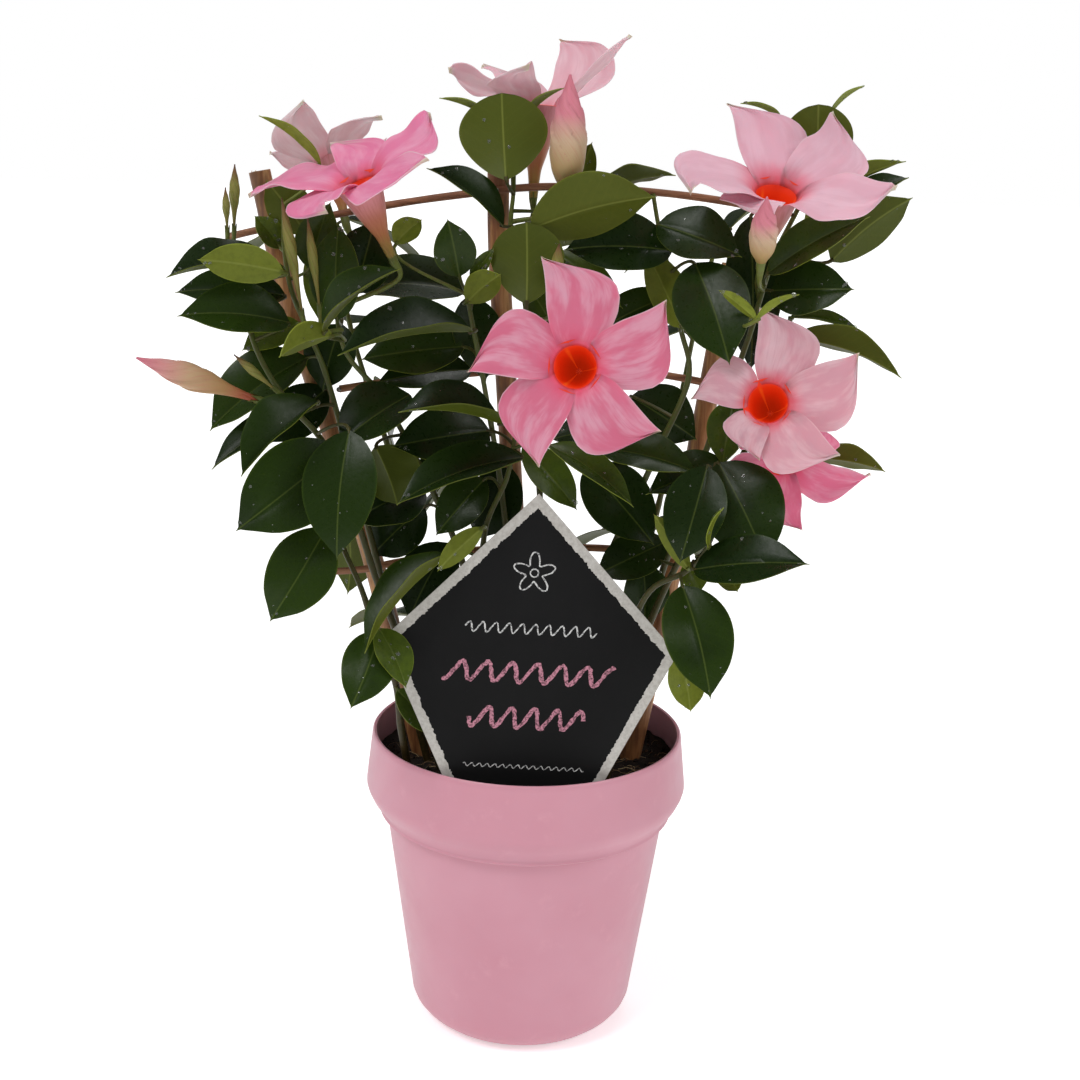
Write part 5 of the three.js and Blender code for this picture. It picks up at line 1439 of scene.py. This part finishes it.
def green_stem():
    """Twining stem and stalks: smooth green skin, browner where it is old and low down."""
    material, tree = start_material("mandevilla stem")
    mark = add(tree, **MARK)
    drawn = add(tree, {"Vector": mark, "Scale": (8, 1, 1)}, **STRETCH)
    streak = add(tree, {"Vector": drawn, "Scale": 1 / 2, "Detail": 4, "Roughness": 0.6}, **NOISE)
    age = add(tree, [add(tree, [mark], out=2, **PART)],
              stops=[(0.25, "#2c210d"), (0.5, "#3c3d17"), (0.8, "#4f5c22"), (1.0, "#758237")], **RAMP)
    body = laid_over(tree, age, "#5c4226", streak, 0.4, 0.7, 0, 0.4)
    return coat(material, Base_Color=body, Roughness=0.42, IOR=1.42,
                Normal=add(tree, {"Height": streak, "Distance": 0.2 * MM, "Strength": 0.5}, **RELIEF))


def water_drop():
    """Clear water standing on the wax: a bright glint over whatever is under it."""
    material = start_material("water drop")[0]
    return coat(material, Base_Color="#e9eee4", Roughness=0.02, IOR=1.33, Transmission_Weight=0.88)


def petal_film(name, pinks, pales):
    """Petal: soft film with a bloom of fine cells, watery pale clouds drawn out down its length, a hot
    heart where it leaves the throat, a hair-thin pale edge and a cream point."""
    material, tree = start_material(name)
    mark = add(tree, **MARK)
    across, along, blush = add(tree, [mark], **PART).node.outputs
    edge = add(tree, [across, LOBE_STEP / 2], **TO_AND_FRO)
    long_cloud = add(tree, {"Vector": mark, "Scale": (1.3, 1.0, 5.0)}, **STRETCH)
    long_streak = add(tree, {"Vector": mark, "Scale": (6.0, 0.7, 7.0)}, **STRETCH)
    cloud = add(tree, {"Vector": long_cloud, "Scale": 1.7, "Detail": 3, "Roughness": 0.55}, **NOISE)
    streak = add(tree, {"Vector": long_streak, "Scale": 2.4, "Detail": 4, "Roughness": 0.6}, **NOISE)
    body = add(tree, [blush], stops=pinks, **RAMP)
    pale = add(tree, [blush], stops=pales, **RAMP)
    clouded = laid_over(tree, body, pale, cloud, 0.38, 0.66, 0, 0.85)
    veined = laid_over(tree, clouded, body, streak, 0.48, 0.7, 0, 0.5)
    heart = add(tree, [cloud, 0.12, along], **TIMES_PLUS)
    hot = add(tree, [blush], stops=[(0.0, "#e08a94"), (0.3, "#e65a6c"), (1.0, "#ee6084")], **RAMP)
    haloed = laid_over(tree, veined, hot, heart, 0.06, 0.4, 0.85, 0)
    throat = laid_over(tree, haloed, "#cc3a2c", along, 0.0, 0.06, 0.85, 0)
    rim = add(tree, [add(tree, [edge, 0.955, 0.995, 0, 0.7], **RISE), add(tree, [along, 0.25, 0.5], **RISE)],
              **TIMES)
    edged = add(tree, {0: rim, 6: throat, 7: "#e6bcc4"}, **BLEND)
    tipped = laid_over(tree, edged, "#e6d3b4", along, 1.0, 1.035, 0, 0.85)
    return coat(
        material, Base_Color=tipped, Roughness=0.6, IOR=1.4, Specular_IOR_Level=0.25,
        Subsurface_Weight=0.5, Subsurface_Radius=(1.0, 0.45, 0.5), Subsurface_Scale=3 * MM,
        Normal=add(tree, {"Height": streak, "Distance": 0.25 * MM, "Strength": 0.5}, **RELIEF))


def petal_inner():
    return petal_film("mandevilla petal, inner face",
                      [(0.0, "#dcb2b8"), (0.2, "#e2b0ba"), (0.3, "#d59ba6"), (0.4, "#e6abba"),
                       (0.7, "#ea7ea2"), (0.8, "#dc718c"), (1.0, "#e47090")],
                      [(0.0, "#e8ccd0"), (0.2, "#eec6cd"), (0.3, "#e3b6bd"), (0.4, "#efbac8"),
                       (0.7, "#f09cb6"), (0.8, "#e8a2b4"), (1.0, "#ee98ae")])


def petal_outer():
    return petal_film("mandevilla petal, outer face",
                      [(0.0, "#dfbcc0"), (0.2, "#e4b8c0"), (0.3, "#dba9b2"), (0.4, "#e6b4c0"),
                       (0.7, "#ec92ae"), (0.8, "#df889c"), (1.0, "#e6849c")],
                      [(0.0, "#ead2d4"), (0.2, "#efccd1"), (0.3, "#e6c0c6"), (0.4, "#efc2cc"),
                       (0.7, "#f0a6bc"), (0.8, "#e3a0b0"), (1.0, "#ea98ac")])


GUIDE_LINES = 3


def throat_skin():
    """Inside of the tube: hot red-orange, darker down the tube as painted shade, with fine yellow guide
    lines; a painted glow, an emission, stands in for the light that comes in through the thin wall."""
    material, tree = start_material("mandevilla throat")
    mark = add(tree, **MARK)
    turn, along, _ = add(tree, [mark], **PART).node.outputs
    # the red darkens down the tube: painted shade in its depth
    body = add(tree, [add(tree, [along, -0.6, 0.04], **RISE)],
               stops=[(0.0, "#8c1803"), (0.45, "#c42a08"), (0.8, "#d43c12"), (1.0, "#d8483a")], **RAMP)
    lines = add(tree, [add(tree, [turn, 2 * GUIDE_LINES], **TIMES), 1.0], **TO_AND_FRO)
    guide = add(tree, [lines, 0.0, 0.16, 1, 0], **RISE)
    deep = add(tree, [along, -0.04, -0.2, 0, 0.7], **RISE)
    lined = add(tree, {0: add(tree, [guide, deep], **TIMES), 6: body, 7: "#e88a2c"}, **BLEND)
    # the emission is a painted glow for the light that comes in through the thin wall
    return coat(material, Base_Color=lined, Roughness=0.5, IOR=1.4, Subsurface_Weight=0.15,
                Subsurface_Radius=(1.0, 0.3, 0.2), Subsurface_Scale=1.2 * MM,
                Emission_Color="#c82c08", Emission_Strength=0.38)


def tube_skin():
    """Outside of the tube: yellow-green foot through salmon to the pink of the petals."""
    material, tree = start_material("mandevilla tube")
    mark = add(tree, **MARK)
    along = add(tree, [mark], out=1, **PART)
    body = add(tree, [add(tree, [along, -1, 0], **RISE)],
               stops=[(0.0, "#8a7c34"), (0.3, "#b5764a"), (0.6, "#c07a62"), (1.0, "#d98f98")], **RAMP)
    drawn = add(tree, {"Vector": mark, "Scale": (6, 0.6, 1)}, **STRETCH)
    streak = add(tree, {"Vector": drawn, "Scale": 6, "Detail": 4, "Roughness": 0.6}, **NOISE)
    streaked = laid_over(tree, body, "#aa5a48", streak, 0.4, 0.7, 0, 0.4)
    return coat(material, Base_Color=streaked, Roughness=0.48, IOR=1.4, Subsurface_Weight=0.12,
                Subsurface_Radius=(1.0, 0.5, 0.4), Subsurface_Scale=1.2 * MM,
                Normal=add(tree, {"Height": streak, "Distance": 0.15 * MM, "Strength": 0.4}, **RELIEF))


# down the length of a bud: slender, pointed and full ones
BUD_COLOURS = [
    [(0.0, "#6b5c26"), (0.3, "#747a30"), (0.7, "#82843c"), (0.9, "#6e542c"), (1.0, "#46291a")],
    [(0.0, "#8f3a22"), (0.16, "#a8563a"), (0.34, "#b08a58"), (0.62, "#c2a07c"), (0.8, "#cf8f8c"),
     (1.0, "#cf7088")],
    [(0.0, "#8d7c3e"), (0.2, "#b59a68"), (0.42, "#ccb091"), (0.55, "#d4a096"), (0.66, "#d98494"),
     (1.0, "#d4788c")],
]


def bud_film():
    """Furled flower: red-brown foot, cream sides, pink point; the slender ones green with brown tips."""
    material, tree = start_material("mandevilla bud")
    mark = add(tree, **MARK)
    furl, along, kind = add(tree, [mark], **PART).node.outputs
    slender, pointed, full = (add(tree, [along], stops=stops, **RAMP) for stops in BUD_COLOURS)
    slim_or_pointed = laid_over(tree, slender, pointed, kind, 0, 0.5)
    body = laid_over(tree, slim_or_pointed, full, kind, 0.5, 1)
    drawn = add(tree, {"Vector": mark, "Scale": (3, 1, 1)}, **STRETCH)
    streak = add(tree, {"Vector": drawn, "Scale": 5, "Detail": 4, "Roughness": 0.6}, **NOISE)
    lined = laid_over(tree, body, "#c07866", streak, 0.45, 0.7, 0, 0.35)
    lap = add(tree, [furl, 0.0, 0.16, 0.3, 0], **RISE)
    lapped = add(tree, {0: lap, 6: lined, 7: "#bb6468"}, **BLEND)
    return coat(material, Base_Color=lapped, Roughness=0.45, IOR=1.4, Subsurface_Weight=0.12,
                Subsurface_Radius=(1.0, 0.5, 0.4), Subsurface_Scale=1.2 * MM,
                Normal=add(tree, {"Height": streak, "Distance": 0.2 * MM, "Strength": 0.4}, **RELIEF))


# ---------------------------------------------------------------- small things on the plant
FLOWER_STALK_R = 1.3
FLOWER_STALK_TONE = 0.9
SEPALS = 5
SEPAL_TONE = 0.85


def add_sepals(skin, foot, heading, size):
    """Narrow pointed sepals round the foot of a flower, laid against it."""
    start, other = square_to(heading)
    uu, tt = np.meshgrid(np.linspace(-1, 1, 5), np.linspace(0, 1, 6))
    half = 1.5 * size * np.sin(math.pi * np.clip(tt * 0.8 + 0.18, 0, 1)) ** 0.8 * (1 - tt**3)
    lift = (2.1 + 0.5 * tt**2) * size - 0.25 * uu**2
    middle = foot + heading * (tt * 8.5 * size)[..., None]
    marks = marks_on(middle, uu, tt * 8, SEPAL_TONE)
    for angle in turns(SEPALS):
        out = start * math.cos(angle) + other * math.sin(angle)
        grid = middle + out * lift[..., None] + np.cross(heading, out) * (uu * half)[..., None]
        skin.add_sheet(grid, marks, STEM)
        skin.add_sheet(grid - out * 0.3, marks, STEM, flip=True)


def add_drop(skin, at, face, size):
    """A water drop: a flattened dome."""
    start, other = square_to(face)
    angles = turns(10)[:, None]
    spokes = (start * np.cos(angles) + other * np.sin(angles)) * size
    rings = []
    for lean in (0.0, 0.5, 1.0):
        rings.append(at + spokes * math.cos(lean * 1.2) + face * size * 0.62 * math.sin(lean * 1.3))
    skin.add_sheet(np.array(rings), UNMARKED, DROP, closed=True)
    skin.add_fan(rings[-1], UNMARKED, DROP, middle=at + face * size * 0.66)
    skin.add_fan(rings[0], UNMARKED, DROP, flip=True, middle=at - face * 0.05)


def add_leaf_drops(skin, grid, rng, count):
    rows, columns = grid.shape[:2]
    for _ in range(count):
        r = int(rng.integers(3, rows - 4))
        c = int(rng.integers(1, columns - 2))
        du = grid[r, c + 1] - grid[r, c]
        dt = grid[r + 1, c] - grid[r, c]
        across = np.cross(dt, du)
        if np.linalg.norm(across) < 0.05:
            continue
        at = grid[r, c] + du * rng.uniform(0, 1) + dt * rng.uniform(0, 1)
        add_drop(skin, at + unit(across) * 0.02, unit(across), 0.35 + 0.9 * rng.uniform() ** 2)


# ---------------------------------------------------------------- shoots
def stalked_flowers(name, bud_places):
    """Foot, heading and size of every flower or bud on a shoot."""
    rows = []
    for shoot, x, z, y, axis, _, size, *_ in BLOOMS.values():
        if shoot == name:
            forward = bloom_frame(axis)[0]
            rows.append((place(x, z, y) - forward * TUBE_LENGTH * size, forward, 1.0))
    for bud, (foot, tip) in bud_places.items():
        if BUDS[bud][0] == name:
            rows.append((foot, unit(tip - foot), 0.55 if BUDS[bud][-1] < SMALL_BUD else 1.0))
    return rows


def add_flower_stalk(skin, name, foot, heading, size):
    """The stalk of a flower with its green cup and sepals, ending just below the flower."""
    below = foot - heading * 9.3
    line = SmoothLine([stem_point(name, below, heading), below, foot - heading * GAP])
    path = line.walk(24)
    shares = np.linspace(0, 1, len(path))
    radii = FLOWER_STALK_R * (0.8 + 0.2 * size) * (1 - 0.12 * np.sin(math.pi * shares))
    radii[-5:] = np.linspace(radii[-5], 2.3 * size, 5)
    rings = rings_along(path, radii, 9)
    skin.add_tube(rings, marks_on(rings, 0, (shares * line.length)[:, None], FLOWER_STALK_TONE), STEM)
    add_sepals(skin, foot - heading * 1.2, heading, size)


def make_shoot(name, leaves, bud_places, seed):
    rng = np.random.default_rng(seed)
    corners = corners_of(f"shoot_{name}")
    skin = Skin()
    add_stem(skin, name)
    for *spots, width, lift, fold in leaves:
        base, tip = settled(corners, spots[:3], spots[3:], BENDS, BEND_FOUND)
        root = stem_point(name, base, unit(tip - base))
        grid = add_leaf(skin, root, base, tip, width, lift, fold, rng)
        add_leaf_drops(skin, grid, rng, int(rng.integers(5, 13)))
    for foot, heading, size in stalked_flowers(name, bud_places):
        add_flower_stalk(skin, name, foot, heading, size)
    return skin


def build_plant():
    buds = {name: bud_place(name) for name in BUDS}
    behind = rear_leaves()
    slots = [green_stem(), leaf_upper(), leaf_under(), water_drop()]
    for seed, name in enumerate(SHOOTS):
        skin = make_shoot(name, LEAVES[name] + behind.get(name, []), buds, 40 + seed)
        put(f"foliage_{name}", skin, slots, f"shoot_{name}")
    slots = [petal_inner(), petal_outer(), throat_skin(), tube_skin()]
    for seed, name in enumerate(BLOOMS):
        skin = bloom_skin(name, np.random.default_rng(70 + seed))
        put(f"flower_{name}", skin, slots, f"bloom_{name}")
    film = bud_film()
    for name, (foot, tip) in buds.items():
        skin = bud_skin(name, foot, tip, BUDS[name][-1])
        put(f"closed_flower_{name}", skin, [film], f"bud_{name}")


def build_pot():
    put("pot_moulding", make_pot(), [pot_plastic()], "pot")
    rng = np.random.default_rng(5)
    skin = make_soil()
    add_crumbs(skin, rng)
    add_fibres(skin, rng)
    put("potting_soil", skin, [potting_mix(), crumb_bark(), root_fibre()], "soil")


def build_trellis():
    rng = np.random.default_rng(9)
    slots = [cane(), cut_cane()]
    for name in STAKES:
        put(f"cane_{name}", make_stake(name, rng), slots, f"stake_{name}")
    slots = [rattan(), cut_cane()]
    for name in RODS:
        put(f"rattan_{name}", make_rod(name), slots, f"rod_{name}")
    steel = nail_steel()
    for number, (rod_name, stake_name) in enumerate(itertools.product(RODS, STAKES), 1):
        skin = make_nail(crossing(rod_name, stake_name))
        put(f"trellis_nail_{number}", skin, [steel], f"nail_{number}")


def build_label():
    panel, border = card_panel(), card_border()
    white = chalk_line("white chalk", "#5f6062", "#d8d8d6")
    pink = chalk_line("pink chalk", "#5c3d45", "#c9889a")
    skin = make_label(np.random.default_rng(3))
    put("plant_card", skin, [panel, border, white, border, pink], "label")


# ---------------------------------------------------------------- camera, light and floor
SKY_LIGHT = 0.38
SKY_SHEEN = 0.12
FLOOR_GLOW = 0.2
FLOOR_WASH = 0.24
FLOOR_REACH = 30.0  # metres
FLOOR_DROP = 0.0005


def set_camera():
    """Looks a little down on the display side from the front."""
    pitch, yaw, roll = 0.242, 0.0055, 0.0275
    ahead = Vector((math.sin(yaw) * math.cos(pitch), math.cos(yaw) * math.cos(pitch), -math.sin(pitch)))
    across = Vector((math.cos(yaw), -math.sin(yaw), 0))
    above = across.cross(ahead)
    c, s = math.cos(roll), math.sin(roll)
    right = across * c + above * s
    top = above * c - across * s
    camera = bpy.data.objects.new("camera", bpy.data.cameras.new("camera"))
    bpy.context.scene.collection.objects.link(camera)
    turned = Matrix((right, top, -ahead)).transposed().to_4x4()
    camera.matrix_world = Matrix.Translation(Vector(VIEW_POINT) * MM) @ turned
    camera.data.lens = 50
    camera.data.sensor_width = 36
    camera.data.clip_start = 0.02
    bpy.context.scene.camera = camera


def add_sun(name, height, turn, strength, spread=24):
    """A far broad lamp: it stands height degrees up, turned from straight in front towards +X."""
    lamp = bpy.data.lights.new(name, "SUN")
    lamp.energy = strength
    lamp.angle = math.radians(spread)
    piece = bpy.data.objects.new(name, lamp)
    rise, swing = math.radians(height), math.radians(turn)
    source = Vector((math.sin(swing) * math.cos(rise), -math.cos(swing) * math.cos(rise), math.sin(rise)))
    piece.rotation_euler = source.to_track_quat("Z", "Y").to_euler()
    bpy.context.scene.collection.objects.link(piece)


def light_room():
    """White all round: soft light from the whole room, and three broad lamps."""
    add_sun("left lamp", height=52, turn=-48, strength=1.15)
    add_sun("right lamp", height=40, turn=58, strength=0.62)
    add_sun("rear lamp", height=60, turn=165, strength=0.45)
    world = bpy.data.worlds.new("studio")
    world.use_nodes = True
    tree = world.node_tree
    seen = add(tree, [], kind="ShaderNodeLightPath", out="Is Camera Ray")
    mirrored = add(tree, [], kind="ShaderNodeLightPath", out="Is Glossy Ray")
    room = add(tree, [mirrored, SKY_SHEEN - SKY_LIGHT, SKY_LIGHT], **TIMES_PLUS)
    backdrop = tree.nodes["Background"]
    join(tree, "#ffffff", backdrop.inputs["Color"])
    join(tree, add(tree, [seen, 1 - SKY_LIGHT, room], **TIMES_PLUS), backdrop.inputs["Strength"])
    bpy.context.scene.world = world


def lay_floor():
    """A white floor just under the pot, that glows enough to melt into the room behind it."""
    sheet = bpy.data.meshes.new("floor")
    corners = [(x * FLOOR_REACH, y * FLOOR_REACH, 0) for x, y in ((-1, -1), (1, -1), (1, 1), (-1, 1))]
    sheet.from_pydata(corners, [], [(0, 1, 2, 3)])
    material, tree = start_material("white paper floor")
    looked_at = add(tree, [], kind="ShaderNodeLightPath", out="Is Camera Ray")
    glow = add(tree, [looked_at, FLOOR_WASH, FLOOR_GLOW], **TIMES_PLUS)
    coat(material, Base_Color="#fafafa", Roughness=0.9, Specular_IOR_Level=0.0,
         Emission_Color="#ffffff", Emission_Strength=glow)
    sheet.materials.append(material)
    floor = bpy.data.objects.new("floor", sheet)
    floor.location = (0, 0, -FLOOR_DROP)
    bpy.context.scene.collection.objects.link(floor)


build_plant()
build_pot()
build_trellis()
build_label()
set_camera()
light_room()
lay_floor()
bpy.context.scene.view_settings.view_transform = "Standard"
